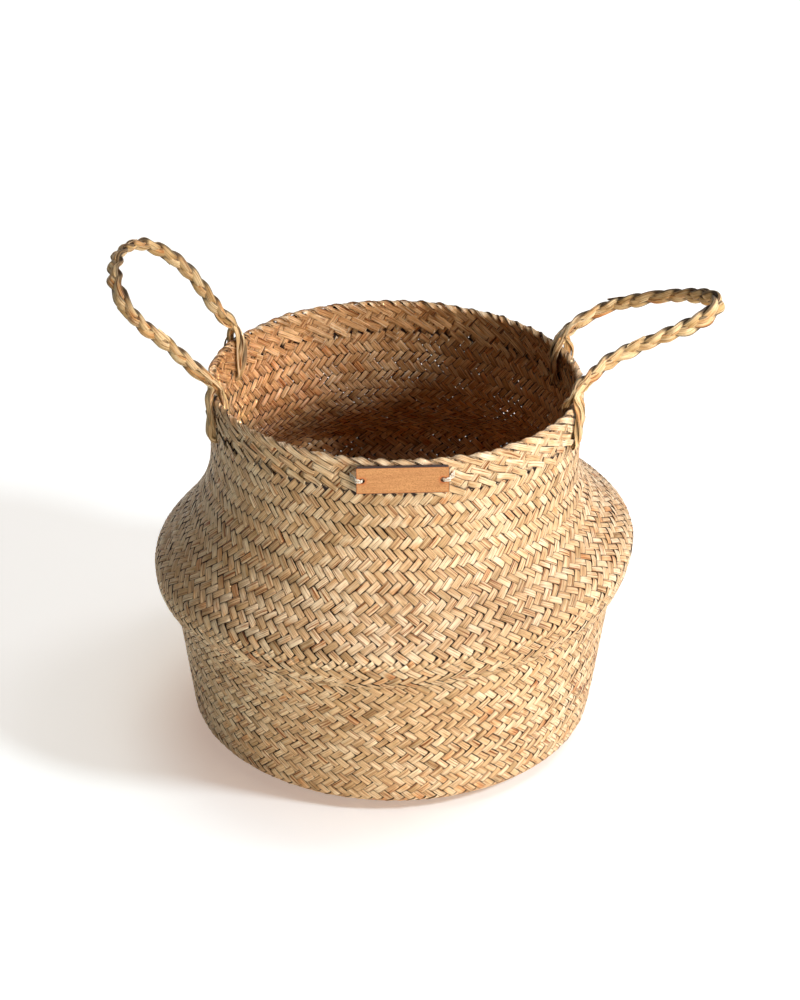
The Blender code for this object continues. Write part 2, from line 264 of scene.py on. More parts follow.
@dataclass(frozen=True)
class Leaf:
    """Dried seagrass leaf: fine fibres along each strand and a colour of its own for each strand, with painted shade at
    strand edges, where strands dive under, and on faces turned into the basket.
    """

    name: str
    stops: tuple[tuple[float, Colour], ...]
    # Painted shade: the dark brown that strand edges and the places where a strand dives under a neighbour are mixed
    # towards.
    groove_shade: Colour = srgb(30, 12, 3)
    fibre: Colour = srgb(150, 98, 56)
    # Painted shade: a darker, warmer tint for the faces that look into the basket.
    inner: Colour = srgb(234, 212, 186)
    cut_colour: Colour = srgb(242, 226, 194)
    half_width: float = 0.00235
    fibre_pitch: float = 0.00042
    rib_pitch: float = 0.0010
    patch_length: float = 0.014
    fibre_share: float = 1.0
    pale_share: float = 0.45
    shade_share: float = 0.52
    # The shares and ranges below set the painted shade at strand edges and where strands dive under.
    edge_shade_share: float = 0.50
    hollow_shade_share: float = 1.0
    hollow_shade_from: float = 0.66
    hollow_shade_to: float = -0.02
    hollow_shade_slant: float = 0.30
    roughness: float = 0.5
    bump: float = 0.00026

    def material(self) -> bpy.types.Material:
        """Builds the finish.

        Returns:
            The material, which reads the strands' own attributes.
        """
        material = bpy.data.materials.new(self.name)
        material.use_nodes = True
        graph = Graph(material.node_tree)
        grain = graph.add("ShaderNodeAttribute", {"attribute_name": "grain"})["Vector"]
        tone = graph.add("ShaderNodeAttribute", {"attribute_name": "tone"})["Fac"]
        depth = graph.add("ShaderNodeAttribute", {"attribute_name": "depth"})["Fac"]
        cut = graph.add("ShaderNodeAttribute", {"attribute_name": "cut"})["Fac"]
        inside = graph.add("ShaderNodeAttribute", {"attribute_name": "inside"})["Fac"]
        along, across, out = graph.split(grain)
        place = graph.add("ShaderNodeTexCoord")["Object"]

        patches = graph.noise(graph.vector(along / self.patch_length, tone * 61.0, across * 90.0))
        shade = graph.noise(graph.vector(along / (self.patch_length * 0.55), tone * 83.0 + 7.0, across * 260.0), 1.0, 2.0)
        fibres = graph.noise(graph.vector(along * 60.0, across / self.fibre_pitch,
                                          out / self.fibre_pitch + tone * 97.0), 1.0, 2.0)
        ribs = graph.noise(graph.vector(along * 22.0, across / self.rib_pitch,
                                        out / self.rib_pitch + tone * 53.0), 1.0, 1.0)
        stain = graph.noise(place, 22.0, 2.0)

        pick_tone = tone * 0.54 + (patches - 0.5) * 0.82 + 0.225
        colour = graph.add("ShaderNodeValToRGB", {"stops": self.stops}, {0: pick_tone})[0]
        # Painted shade: faces turned into the basket are multiplied by the darker, warmer inner tint.
        colour = graph.mix(inside, colour, graph.mix(1.0, colour, self.inner, "MULTIPLY"))
        light = (shade - 0.5) * self.shade_share + (stain - 0.5) * 0.14 + 1.0
        colour = graph.mix(1.0, colour, graph.vector(light, light.math("POWER", 1.25), light.math("POWER", 1.7)), "MULTIPLY")
        fibre_mask = fibres.ramp(0.46, 0.74) * self.fibre_share + ribs.ramp(0.54, 0.78) * (self.fibre_share * 0.9)
        colour = graph.mix(fibre_mask, colour, graph.mix(1.0, colour, self.fibre, "MULTIPLY"))
        pale_mask = ribs.ramp(0.46, 0.26) * self.pale_share
        colour = graph.mix(pale_mask, colour, self.cut_colour)
        # Painted shade: a dark line along each strand's edges, shifting from side to side, for the shaded gaps between
        # strands.
        edge = abs(across / self.half_width + (shade - 0.5) * 0.45).ramp(0.84, 1.0) * self.edge_shade_share
        colour = graph.mix(edge, colour, self.groove_shade)
        # Painted shade: darker where a strand dives under its neighbour on the face that is seen, more towards one
        # edge; the fold over the rim (depth 3) is left clear.
        facing = (out * 5000.0).math("MINIMUM", 1.0).math("MAXIMUM", -1.0)
        under = depth * facing + across / self.half_width * self.hollow_shade_slant + (shade - 0.5) * 0.5
        hollow_shade = under.ramp(self.hollow_shade_from, self.hollow_shade_to) * self.hollow_shade_share * abs(depth).ramp(2.0, 1.2)
        colour = graph.mix(hollow_shade, colour, self.groove_shade)
        colour = graph.mix(cut * 0.75, colour, self.cut_colour)

        height = fibres * 0.5 + ribs
        normal = graph.add("ShaderNodeBump", None, {"Strength": 0.9, "Distance": self.bump, "Height": height})["Normal"]
        roughness = (fibres - 0.5) * 0.25 + self.roughness
        shader = graph.add("ShaderNodeBsdfPrincipled", None, {
            "Base Color": colour, "Roughness": roughness, "Normal": normal, "Specular IOR Level": 0.25})
        graph.add("ShaderNodeOutputMaterial", None, {"Surface": shader["BSDF"]})
        return material


STRAW_STOPS = (
    (0.00, srgb(158, 126, 82)),
    (0.16, srgb(198, 163, 116)),
    (0.32, srgb(225, 188, 141)),
    (0.50, srgb(238, 205, 160)),
    (0.64, srgb(254, 231, 194)),
    (0.78, srgb(234, 191, 140)),
    (0.90, srgb(218, 158, 103)),
    (1.00, srgb(184, 118, 72)),
)
ROPE_STOPS = (
    (0.00, srgb(170, 132, 80)),
    (0.18, srgb(204, 168, 112)),
    (0.36, srgb(230, 196, 142)),
    (0.56, srgb(246, 220, 172)),
    (0.72, srgb(226, 178, 118)),
    (0.88, srgb(204, 138, 78)),
    (1.00, srgb(160, 98, 52)),
)


@dataclass(frozen=True)
class Plywood:
    """Thin birch plywood cut by laser: a speckled face with scorched edges and holes."""

    name: str
    place: Matrix
    length: float
    width: float
    hole_inset: float
    hole_radius: float
    face: Colour = srgb(212, 156, 100)
    streak: Colour = srgb(166, 104, 56)
    scorch: Colour = srgb(44, 20, 10)
    halo: Colour = srgb(196, 100, 44)

    def material(self) -> bpy.types.Material:
        """Builds the finish.

        Returns:
            The material, which reads the tag's own frame from Object coordinates.
        """
        material = bpy.data.materials.new(self.name)
        material.use_nodes = True
        graph = Graph(material.node_tree)
        inverse = self.place.inverted()
        euler = inverse.to_euler("XYZ")
        place = graph.add("ShaderNodeTexCoord")["Object"]
        local = graph.add("ShaderNodeMapping", {"vector_type": "POINT"}, {
            "Vector": place, "Location": tuple(inverse.translation), "Rotation": tuple(euler)})[0]
        along, out, up = graph.split(local)
        streaks = graph.noise(graph.vector(along * 60.0, out * 900.0, up * 900.0), 1.0, 3.0)
        specks = graph.noise(graph.vector(along * 1500.0, out * 1900.0, up * 1900.0), 1.0, 2.0)
        colour = graph.mix(streaks.ramp(0.35, 0.7) * 0.35, self.face, self.streak)
        colour = graph.mix(specks.ramp(0.48, 0.64) * 0.7, colour, self.streak)
        near_end = abs(along).ramp(self.length / 2 - 0.0018, self.length / 2 - 0.0001)
        near_side = abs(up).ramp(self.width / 2 - 0.0014, self.width / 2 - 0.0001)
        edge = near_end.math("MAXIMUM", near_side)
        hole = self.length / 2 - self.hole_inset
        from_hole = abs(abs(along) - hole)
        distance = (from_hole * from_hole + up * up).math("SQRT")
        colour = graph.mix(edge * 0.4, colour, self.halo)
        colour = graph.mix(distance.ramp(self.hole_radius + 0.0022, self.hole_radius) * 0.75, colour, self.halo)
        colour = graph.mix(distance.ramp(self.hole_radius + 0.0005, self.hole_radius - 0.0002), colour, self.scorch)
        rim_end = abs(along).ramp(self.length / 2 - 0.0005, self.length / 2 - 0.0001)
        rim_side = abs(up).ramp(self.width / 2 - 0.0005, self.width / 2 - 0.0001)
        colour = graph.mix(rim_end.math("MAXIMUM", rim_side), colour, self.scorch)
        normal = graph.add("ShaderNodeBump", None, {"Strength": 0.4, "Distance": 0.0001, "Height": specks})["Normal"]
        shader = graph.add("ShaderNodeBsdfPrincipled", None, {
            "Base Color": colour, "Roughness": (specks - 0.5) * 0.2 + 0.58, "Normal": normal})
        graph.add("ShaderNodeOutputMaterial", None, {"Surface": shader["BSDF"]})
        return material


@dataclass(frozen=True)
class Cotton:
    """Twisted white cotton thread."""

    name: str
    colour: Colour = srgb(240, 235, 222)
    shade: Colour = srgb(196, 184, 160)

    def material(self) -> bpy.types.Material:
        """Builds the finish, with fine slanted fibres."""
        material = bpy.data.materials.new(self.name)
        material.use_nodes = True
        graph = Graph(material.node_tree)
        grain = graph.add("ShaderNodeAttribute", {"attribute_name": "grain"})["Vector"]
        along, across, out = graph.split(grain)
        fibres = graph.noise(graph.vector(along * 900.0, across * 4000.0, out * 4000.0), 1.0, 2.0)
        colour = graph.mix(fibres.ramp(0.4, 0.75) * 0.7, self.colour, self.shade)
        normal = graph.add("ShaderNodeBump", None, {"Strength": 0.6, "Distance": 0.0001, "Height": fibres})["Normal"]
        shader = graph.add("ShaderNodeBsdfPrincipled", None, {
            "Base Color": colour, "Roughness": 0.85, "Normal": normal})
        graph.add("ShaderNodeOutputMaterial", None, {"Surface": shader["BSDF"]})
        return material


# ---- Shape of the basket ----

@dataclass(frozen=True)
class BasketShape:
    """The basket's outline, as the CAD model has it, and the lattice of strands on it."""

    base_radius: float = 0.100
    foot_radius: float = 0.1364
    foot_height: float = 0.014
    crease_depth: float = 0.0115
    crease_height: float = 0.106
    belly_radius: float = 0.160
    belly_height: float = 0.1286
    neck_radius: float = 0.1205
    neck_height: float = 0.200
    rim_height: float = 0.248
    wall: float = 0.0024
    belly_lean: float = 0.0108
    lean_reach: float = 0.040
    border_half: float = 0.0027
    weave_start: float = 0.0985
    strands: int = 124
    strand_width: float = 0.0047
    top_row: int = 91
    edge_height: float = 0.2458

    def outline(self) -> Array:
        """The outer outline from inside the foot up to the rim, as rows of radius and height."""
        turn = np.linspace(0, math.pi / 2, 60)
        foot = np.stack([self.base_radius + (self.foot_radius - self.base_radius) * np.sin(turn),
                         self.foot_height * (1 - np.cos(turn))], 1)
        belly = np.stack([self.belly_radius - self.crease_depth * (1 - np.sin(turn)),
                          self.belly_height - (self.belly_height - self.crease_height) * np.cos(turn)], 1)
        t = np.linspace(0, 1, 200)[1:]
        ease = t * t * (3 - 2 * t)
        rise = 0.60 * t * (1 - t) ** 2 + ease - 1.98 * t * t * (1 - t)
        shoulder = np.stack([self.belly_radius + (self.neck_radius - self.belly_radius) * ease,
                             self.belly_height + (self.neck_height - self.belly_height) * rise], 1)
        ends = np.array([[self.weave_start - 0.004, 0.0]]), np.array([[self.neck_radius, self.rim_height + 0.006]])
        return np.concatenate([ends[0], foot, belly, shoulder, ends[1]])

    def middle(self) -> tuple[Array, Array]:
        """The middle of the wall along the outline.

        Returns:
            Points and outward directions, as rows of radius and height, a quarter millimetre apart.
        """
        outline = self.outline()
        lengths = np.concatenate([[0.0], np.cumsum(np.linalg.norm(np.diff(outline, axis=0), axis=1))])
        even = np.arange(0, lengths[-1], 0.00025)
        line = np.stack([np.interp(even, lengths, outline[:, k]) for k in (0, 1)], 1)
        reach = 8
        weights = np.exp(-0.5 * (np.arange(-3 * reach, 3 * reach + 1) / reach) ** 2)
        weights /= weights.sum()
        padded = np.concatenate([2 * line[0] - line[3 * reach:0:-1], line, 2 * line[-1] - line[-2:-3 * reach - 2:-1]])
        line = np.stack([np.convolve(padded[:, k], weights, "valid") for k in (0, 1)], 1)
        along = np.gradient(line, axis=0)
        along /= np.linalg.norm(along, axis=1, keepdims=True)
        outward = np.stack([along[:, 1], -along[:, 0]], 1)
        return line - outward * (self.wall / 2), outward


@dataclass
class Lattice:
    """The rows in which the two sets of strands cross, by row number from the foot up."""

    shape: BasketShape
    rows: Array = field(init=False)
    points: Array = field(init=False)
    outward: Array = field(init=False)

    def __post_init__(self) -> None:
        """Works out the row number along the wall from the strands' width and number."""
        points, outward = self.shape.middle()
        radius = points[:, 0]
        lean = np.clip(self.shape.strands * self.shape.strand_width / (2 * math.pi * radius), 0.1, 0.97)
        tangent = np.sqrt(1 - lean * lean) / lean
        step = np.linalg.norm(np.diff(points, axis=0, prepend=points[:1]), axis=1)
        turn = np.cumsum(tangent / radius * step) * self.shape.strands / math.pi
        top = np.interp(self.shape.edge_height, points[-400:, 1], turn[-400:])
        start = np.searchsorted(radius, self.shape.weave_start)
        self.rows = (turn - top + self.shape.top_row)[start:]
        self.points, self.outward = points[start:], outward[start:]

    @property
    def first_row(self) -> float:
        """The row number at the edge of the base."""
        return float(self.rows[0])

    def row_at_height(self, height: float) -> float:
        """The row number at a height above the foot."""
        return float(np.interp(height, self.points[:, 1], self.rows))

    def at(self, rows: Array) -> tuple[Array, Array]:
        """The wall's middle and outward direction at some rows.

        Args:
            rows: Row numbers, whole or not.

        Returns:
            Points and directions, as rows of radius and height.
        """
        points = np.stack([np.interp(rows, self.rows, self.points[:, k]) for k in (0, 1)], 1)
        outward = np.stack([np.interp(rows, self.rows, self.outward[:, k]) for k in (0, 1)], 1)
        return points, outward / np.linalg.norm(outward, axis=1, keepdims=True)

    def turned(self, section: Array, angles: Array) -> Array:
        """Turns points or directions of the section to their angles round the basket."""
        return np.stack([section[:, 0] * np.cos(angles), section[:, 0] * np.sin(angles), section[:, 1]], 1)


class Slant(Enum):
    """Which way a strand rises, seen from outside."""

    RIGHT = 1
    LEFT = -1


# ---- Meshes ----

SECTION = np.array([(-1.0, -0.42), (0.0, -1.0), (1.0, -0.42), (1.0, 0.42), (0.0, 1.0), (-1.0, 0.42)])
CRISP_CORNERS = (0, 2, 3, 5)
CENTRE = (0.0, 0.0, 0.130)


def smooth_noise(random: np.random.Generator, places: Array, pitch: float) -> Array:
    """Soft random values between about -1 and 1 along a line.

    Args:
        random: The seeded source of numbers.
        places: Where the values are wanted.
        pitch: The distance between independent values.

    Returns:
        One value for each place.
    """
    knots = np.arange(places.min() - 2 * pitch, places.max() + 3 * pitch, pitch)
    values = random.uniform(-1, 1, len(knots))
    index = np.clip(((places - knots[0]) / pitch).astype(int), 0, len(knots) - 2)
    t = (places - knots[index]) / pitch
    t = t * t * (3 - 2 * t)
    return values[index] * (1 - t) + values[index + 1] * t


def write_attribute(mesh: bpy.types.Mesh, name: str, values: Array) -> None:
    """Stores a number or a vector for each vertex."""
    kind = "FLOAT" if values.ndim == 1 else "FLOAT_VECTOR"
    attribute = mesh.attributes.new(name, kind, "POINT")
    attribute.data.foreach_set("value" if kind == "FLOAT" else "vector", values.astype(np.float32).ravel())


def face_outwards(mesh: bpy.types.Mesh) -> None:
    """Turns all faces over if the closed mesh is inside out."""
    made = bmesh.new()
    made.from_mesh(mesh)
    if made.calc_volume(signed=True) < 0:
        bmesh.ops.reverse_faces(made, faces=made.faces)
        made.to_mesh(mesh)
    made.free()


def line_lengths(points: Array) -> Array:
    """The length along a line at each of its points."""
    return np.concatenate([[0.0], np.cumsum(np.linalg.norm(np.diff(points, axis=0), axis=1))])


@dataclass
class Ribbon:
    """A flat strand along a path: its middle, the way it faces, and its sizes point by point."""

    middle: Array
    facing: Array
    half_width: Array
    half_thickness: Array
    roll: Array
    depth: Array
    cut: Array
    tone: float | None = None

    def corners(self) -> tuple[Array, Array, Array]:
        """The strand's points in space and in its own frame.

        Returns:
            Vertices, for each the distance along, across and out of the strand, and how far it
            faces the inside of the basket.
        """
        ahead = np.gradient(self.middle, axis=0)
        ahead /= np.linalg.norm(ahead, axis=1, keepdims=True) + 1e-12
        side = np.cross(self.facing, ahead)
        side /= np.linalg.norm(side, axis=1, keepdims=True) + 1e-12
        out = np.cross(ahead, side)
        cosine, sine = np.cos(self.roll)[:, None], np.sin(self.roll)[:, None]
        side, out = side * cosine + out * sine, out * cosine - side * sine
        across = SECTION[None, :, 0] * self.half_width[:, None]
        proud = SECTION[None, :, 1] * self.half_thickness[:, None]
        vertices = self.middle[:, None] + side[:, None] * across[..., None] + out[:, None] * proud[..., None]
        along = np.repeat(line_lengths(self.middle)[:, None], len(SECTION), 1)
        to_centre = np.array(CENTRE) - vertices
        to_centre /= np.linalg.norm(to_centre, axis=2, keepdims=True)
        # How far each face looks into the basket; the finish uses it for a tint of painted shade.
        inside = np.clip(np.sum(out[:, None] * to_centre, 2) * np.sign(SECTION[None, :, 1]) * 3 + 0.5, 0, 1)
        return vertices.reshape(-1, 3), np.stack([along, across, proud], -1).reshape(-1, 3), inside.ravel()

    def mesh(self, name: str) -> bpy.types.Mesh:
        """Builds the closed mesh with its grain attributes."""
        return ribbons_mesh(name, [self])


def ribbons_mesh(name: str, ribbons: Sequence[Ribbon]) -> bpy.types.Mesh:
    """Joins strands into one mesh.

    Args:
        name: The mesh's name.
        ribbons: The strands.

    Returns:
        A mesh with the attributes grain, depth, cut and, where the strands have one, tone.
    """
    corners, grains, insides, depths, cuts, tones, faces = [], [], [], [], [], [], []
    count = len(SECTION)
    start = 0
    for ribbon in ribbons:
        vertices, grain, inside = ribbon.corners()
        length = len(ribbon.middle)
        ring = np.arange(count)
        first = start + np.arange(length - 1)[:, None] * count
        sides = np.stack([first + ring, first + (ring + 1) % count, first + count + (ring + 1) % count,
                          first + count + ring], -1).reshape(-1, 4)
        faces += sides.tolist()
        faces.append((start + ring[::-1]).tolist())
        faces.append((start + (length - 1) * count + ring).tolist())
        corners.append(vertices)
        grains.append(grain)
        insides.append(inside)
        depths.append(np.repeat(ribbon.depth, count))
        cuts.append(np.repeat(ribbon.cut, count))
        tones.append(np.full(len(vertices), ribbon.tone if ribbon.tone is not None else 0.5))
        start += len(vertices)
    mesh = bpy.data.meshes.new(name)
    mesh.from_pydata(np.concatenate(corners).tolist(), [], faces)
    write_attribute(mesh, "grain", np.concatenate(grains))
    write_attribute(mesh, "inside", np.concatenate(insides))
    write_attribute(mesh, "depth", np.concatenate(depths))
    write_attribute(mesh, "cut", np.concatenate(cuts))
    if all(ribbon.tone is not None for ribbon in ribbons):
        write_attribute(mesh, "tone", np.concatenate(tones))
    mesh.shade_smooth()
    face_outwards(mesh)
    crisp_edges(mesh)
    return mesh


def crisp_edges(mesh: bpy.types.Mesh) -> None:
    """Marks the four long corners of each strand as sharp, so that its edges look cut."""
    pairs = np.zeros(len(mesh.edges) * 2, np.int32)
    mesh.edges.foreach_get("vertices", pairs)
    corner = pairs.reshape(-1, 2) % len(SECTION)
    sharp = (corner[:, 0] == corner[:, 1]) & np.isin(corner[:, 0], CRISP_CORNERS)
    attribute = mesh.attributes.get("sharp_edge") or mesh.attributes.new("sharp_edge", "BOOLEAN", "EDGE")
    attribute.data.foreach_set("value", sharp)


def plain_piece(name: str, mesh: bpy.types.Mesh, material: bpy.types.Material | None = None) -> bpy.types.Object:
    """Links a finished mesh as one piece at the origin."""
    piece = bpy.data.objects.new(name, mesh)
    bpy.context.scene.collection.objects.link(piece)
    if material is not None:
        mesh.materials.clear()
        mesh.materials.append(material)
    return piece


def settled(carrier: bpy.types.Object, name: str) -> bpy.types.Object:
    """Turns a node modifier's result into a plain mesh, and removes the object that carried it.

    Args:
        carrier: The object with the modifier.
        name: The finished piece's name.

    Returns:
        The piece, at the origin.
    """
    graph = bpy.context.evaluated_depsgraph_get()
    mesh = bpy.data.meshes.new_from_object(carrier.evaluated_get(graph), preserve_all_data_layers=True, depsgraph=graph)
    carrier.modifiers.clear()
    bpy.data.objects.remove(carrier, do_unlink=True)
    mesh.name = name
    face_outwards(mesh)
    return plain_piece(name, mesh)


@dataclass
class NodeTool:
    """A Geometry Nodes tree with named inputs, which its modifier sets by identifier."""

    name: str
    tree: bpy.types.GeometryNodeTree = field(init=False)
    inputs: dict[str, str] = field(init=False, default_factory=dict)
    graph: Graph = field(init=False)
    entry: Made = field(init=False)

    def __post_init__(self) -> None:
        """Starts the tree with a geometry input and output."""
        self.tree = bpy.data.node_groups.new(self.name, "GeometryNodeTree")
        self.tree.interface.new_socket(name="Geometry", in_out="OUTPUT", socket_type="NodeSocketGeometry")
        self.tree.interface.new_socket(name="Geometry", in_out="INPUT", socket_type="NodeSocketGeometry")
        self.graph = Graph(self.tree)

    def open(self, sockets: dict[str, str]) -> Made:
        """Adds the named inputs.

        Args:
            sockets: The type of each input by its name.

        Returns:
            The node that gives them.
        """
        for name, kind in sockets.items():
            item = self.tree.interface.new_socket(name=name, in_out="INPUT", socket_type="NodeSocket" + kind)
            self.inputs[name] = item.identifier
        self.entry = self.graph.add("NodeGroupInput")
        return self.entry

    def close(self, geometry: Value) -> None:
        """Realizes instances, sets the finish and ends the tree."""
        real = self.graph.add("GeometryNodeRealizeInstances", None, {0: geometry})[0]
        dressed = self.graph.add("GeometryNodeSetMaterial", None, {"Geometry": real, "Material": self.entry["Finish"]})
        self.graph.add("NodeGroupOutput", None, {0: dressed[0]})

    def run(self, name: str, base: bpy.types.Mesh, values: dict[str, Any]) -> bpy.types.Object:
        """Runs the tree on a mesh.

        Args:
            name: The finished piece's name.
            base: The mesh that goes in.
            values: The inputs by name.

        Returns:
            The result as a plain piece.
        """
        carrier = bpy.data.objects.new(name + "_maker", base)
        bpy.context.scene.collection.objects.link(carrier)
        modifier = carrier.modifiers.new(self.name, "NODES")
        modifier.node_group = self.tree
        for key, value in values.items():
            modifier[self.inputs[key]] = value
        piece = settled(carrier, name)
        return piece


def shaken(graph: Graph, geometry: Value, entry: Made) -> Value:
    """Leans the belly, and gives the work of hands its soft unevenness.

    Args:
        graph: The node tree.
        geometry: The strands in place round an upright, even basket.
        entry: The tree's inputs.

    Returns:
        The moved geometry.
    """
    place = graph.add("GeometryNodeInputPosition")[0]
    x, y, z = graph.split(place)
    share = (z - entry["Belly Height"]) / entry["Lean Reach"]
    lift = (share * share * -1.0).math("EXPONENT") * x / entry["Belly Radius"] * entry["Belly Lean"]
    hold = z.ramp(0.002, 0.030)
    offset = graph.vector(0.0, 0.0, lift)
    for amount, size, detail in (("Ripple", "Ripple Size", 0.0), ("Jitter", "Jitter Size", 1.0)):
        scale = graph.add("ShaderNodeMath", {"operation": "DIVIDE"}, {0: 1.0, 1: entry[size]})[0]
        noise = graph.add("ShaderNodeTexNoise", None, {"Vector": place, "Scale": scale, "Detail": detail})["Color"]
        centred = graph.add("ShaderNodeVectorMath", {"operation": "SUBTRACT"}, {0: noise, 1: (0.5, 0.5, 0.5)})[0]
        moved = graph.add("ShaderNodeVectorMath", {"operation": "SCALE"}, {0: centred, "Scale": hold * entry[amount]})[0]
        offset = graph.add("ShaderNodeVectorMath", {"operation": "ADD"}, {0: offset, 1: moved})[0]
    return graph.add("GeometryNodeSetPosition", None, {"Geometry": geometry, "Offset": offset})[0]


SHAPE_SOCKETS = {"Belly Lean": "Float", "Belly Height": "Float", "Lean Reach": "Float", "Belly Radius": "Float",
                 "Ripple": "Float", "Ripple Size": "Float", "Jitter": "Float", "Jitter Size": "Float",
                 "Finish": "Material"}


def ring_tool() -> NodeTool:
    """Builds the tree that sets a family of strands in a ring round the basket.

    Returns:
        The tool. Its groups take turns round the ring, and each place draws one strand of its group.
    """
    tool = NodeTool("Strand Ring")
    entry = tool.open({"Family": "Collection", "Strands": "Int", "Groups": "Int", "Each Group": "Int",
                       "First Angle": "Float", "Seed": "Int", **SHAPE_SOCKETS})
    graph = tool.graph
    points = graph.add("GeometryNodePoints", None, {"Count": entry["Strands"]})[0]
    index = graph.add("GeometryNodeInputIndex")[0]
    angle = index / entry["Strands"] * (2 * math.pi) + entry["First Angle"]
    draw = graph.add("FunctionNodeRandomValue", {"data_type": "INT"}, {
        "Min": 0, "Max": entry["Each Group"] - 1.0, "Seed": entry["Seed"]})["Value"]
    which = (index % entry["Groups"]) * entry["Each Group"] + draw
    family = graph.add("GeometryNodeCollectionInfo", None, {
        "Collection": entry["Family"], "Separate Children": True, "Reset Children": True})[0]
    placed = graph.add("GeometryNodeInstanceOnPoints", None, {
        "Points": points, "Instance": family, "Pick Instance": True, "Instance Index": which,
        "Rotation": graph.vector(0.0, 0.0, angle)})[0]
    tone = graph.add("FunctionNodeRandomValue", {"data_type": "FLOAT"}, {
        "Min": 0.0, "Max": 1.0, "Seed": entry["Seed"] + 7.0})["Value"]
    toned = graph.add("GeometryNodeStoreNamedAttribute", {"data_type": "FLOAT", "domain": "INSTANCE"}, {
        "Geometry": placed, "Name": "tone", "Value": tone})[0]
    real = graph.add("GeometryNodeRealizeInstances", None, {0: toned})[0]
    tool.close(shaken(graph, real, entry))
    return tool


def rope_tool() -> NodeTool:
    """Builds the tree that runs a notched bundle of leaf along each path of a line mesh.

    Returns:
        The tool. The paths carry the attributes facing, thickness, tilt, along, tone, depth and cut.
    """
    tool = NodeTool("Leaf Bundle")
    entry = tool.open({"Sides": "Int", "Notches": "Float", "Notch Depth": "Float", "Flatness": "Float", "Finish": "Material"})
    graph = tool.graph

    def named(name: str, kind: str = "FLOAT") -> Value:
        """Reads a named attribute."""
        return graph.add("GeometryNodeInputNamedAttribute", {"data_type": kind}, {"Name": name})["Attribute"]

    def stored(geometry: Value, name: str, value: Value, kind: str = "FLOAT") -> Value:
        """Stores a named attribute for each point."""
        return graph.add("GeometryNodeStoreNamedAttribute", {"data_type": kind, "domain": "POINT"}, {
            "Geometry": geometry, "Name": name, "Value": value})[0]

    line = graph.add("GeometryNodeMeshToCurve", None, {0: entry["Geometry"]})[0]
    line = graph.add("GeometryNodeSetCurveNormal", {"mode": "FREE"}, {
        "Curve": line, "Normal": named("facing", "FLOAT_VECTOR")})[0]
    line = graph.add("GeometryNodeSetCurveTilt", None, {"Curve": line, "Tilt": named("tilt")})[0]
    circle = graph.add("GeometryNodeCurvePrimitiveCircle", {"mode": "RADIUS"}, {"Resolution": entry["Sides"], "Radius": 1.0})[0]
    place = graph.add("GeometryNodeInputPosition")[0]
    x, y, _ = graph.split(place)
    turn = y.math("ARCTAN2", x) * entry["Notches"] / (2 * math.pi) + 0.5
    notch = (1.0 - abs((turn * math.pi).math("SINE"))).math("POWER", 6.0)
    profile = stored(circle, "notch", notch)
    profile = stored(profile, "sector", turn.math("FLOOR"))
    deep = 1.0 - named("notch") * entry["Notch Depth"]
    profile = graph.add("GeometryNodeSetPosition", None, {
        "Geometry": profile, "Position": graph.vector(x * deep * entry["Flatness"], y * deep, 0.0)})[0]
    profile = stored(profile, "around", place, "FLOAT_VECTOR")
    made = graph.add("GeometryNodeCurveToMesh", None, {
        "Curve": line, "Profile Curve": profile, "Fill Caps": True, "Scale": named("thickness")})[0]
    ax, ay, _ = graph.split(named("around", "FLOAT_VECTOR"))
    grain = graph.vector(named("along"), ay * named("thickness"), ax * named("thickness"))
    made = stored(made, "grain", grain, "FLOAT_VECTOR")
    made = stored(made, "tone", (named("tone") + named("sector") * 0.217).math("FRACT"))
    tool.close(made)
    return tool


@dataclass
class Path3:
    """A path of the rope tool: its points, the way it faces, and its sizes point by point."""

    points: Array
    facing: Array
    thickness: Array | float
    tilt: Array | float = 0.0
    tone: float = 0.5
    depth: Array | float = 0.0
    cut: Array | float = 0.0


def path_mesh(name: str, paths: Sequence[Path3]) -> bpy.types.Mesh:
    """Makes the line mesh that the rope tool follows.

    Args:
        name: The mesh's name.
        paths: The paths.

    Returns:
        One mesh with an edge chain for each path.
    """
    columns: dict[str, list[Array]] = {key: [] for key in ("thickness", "tilt", "tone", "depth", "cut", "along", "facing")}
    points, edges, start = [], [], 0
    for path in paths:
        count = len(path.points)
        edges += [(start + k, start + k + 1) for k in range(count - 1)]
        start += count
        points.append(path.points)
        for key in ("thickness", "tilt", "tone", "depth", "cut"):
            columns[key].append(np.broadcast_to(np.asarray(getattr(path, key), float), count))
        columns["along"].append(line_lengths(path.points))
        columns["facing"].append(np.broadcast_to(path.facing, (count, 3)))
    mesh = bpy.data.meshes.new(name)
    mesh.from_pydata(np.concatenate(points).tolist(), edges, [])
    for key, column in columns.items():
        write_attribute(mesh, key, np.concatenate(column))
    return mesh


# ---- Woven wall ----

class Zone(Enum):
    """A zone of the wall: its name, CAD nodes, the bodies that carry it, and how wide its strands are."""

    LOWER = ("lower", ("lower_wall", "belly_wall"), ("lower_basket",), 0.955)
    SHOULDER = ("shoulder", ("shoulder_wall",), ("lower_basket", "neck"), 0.955)
    NECK = ("neck", ("neck_wall",), ("neck",), 0.945)


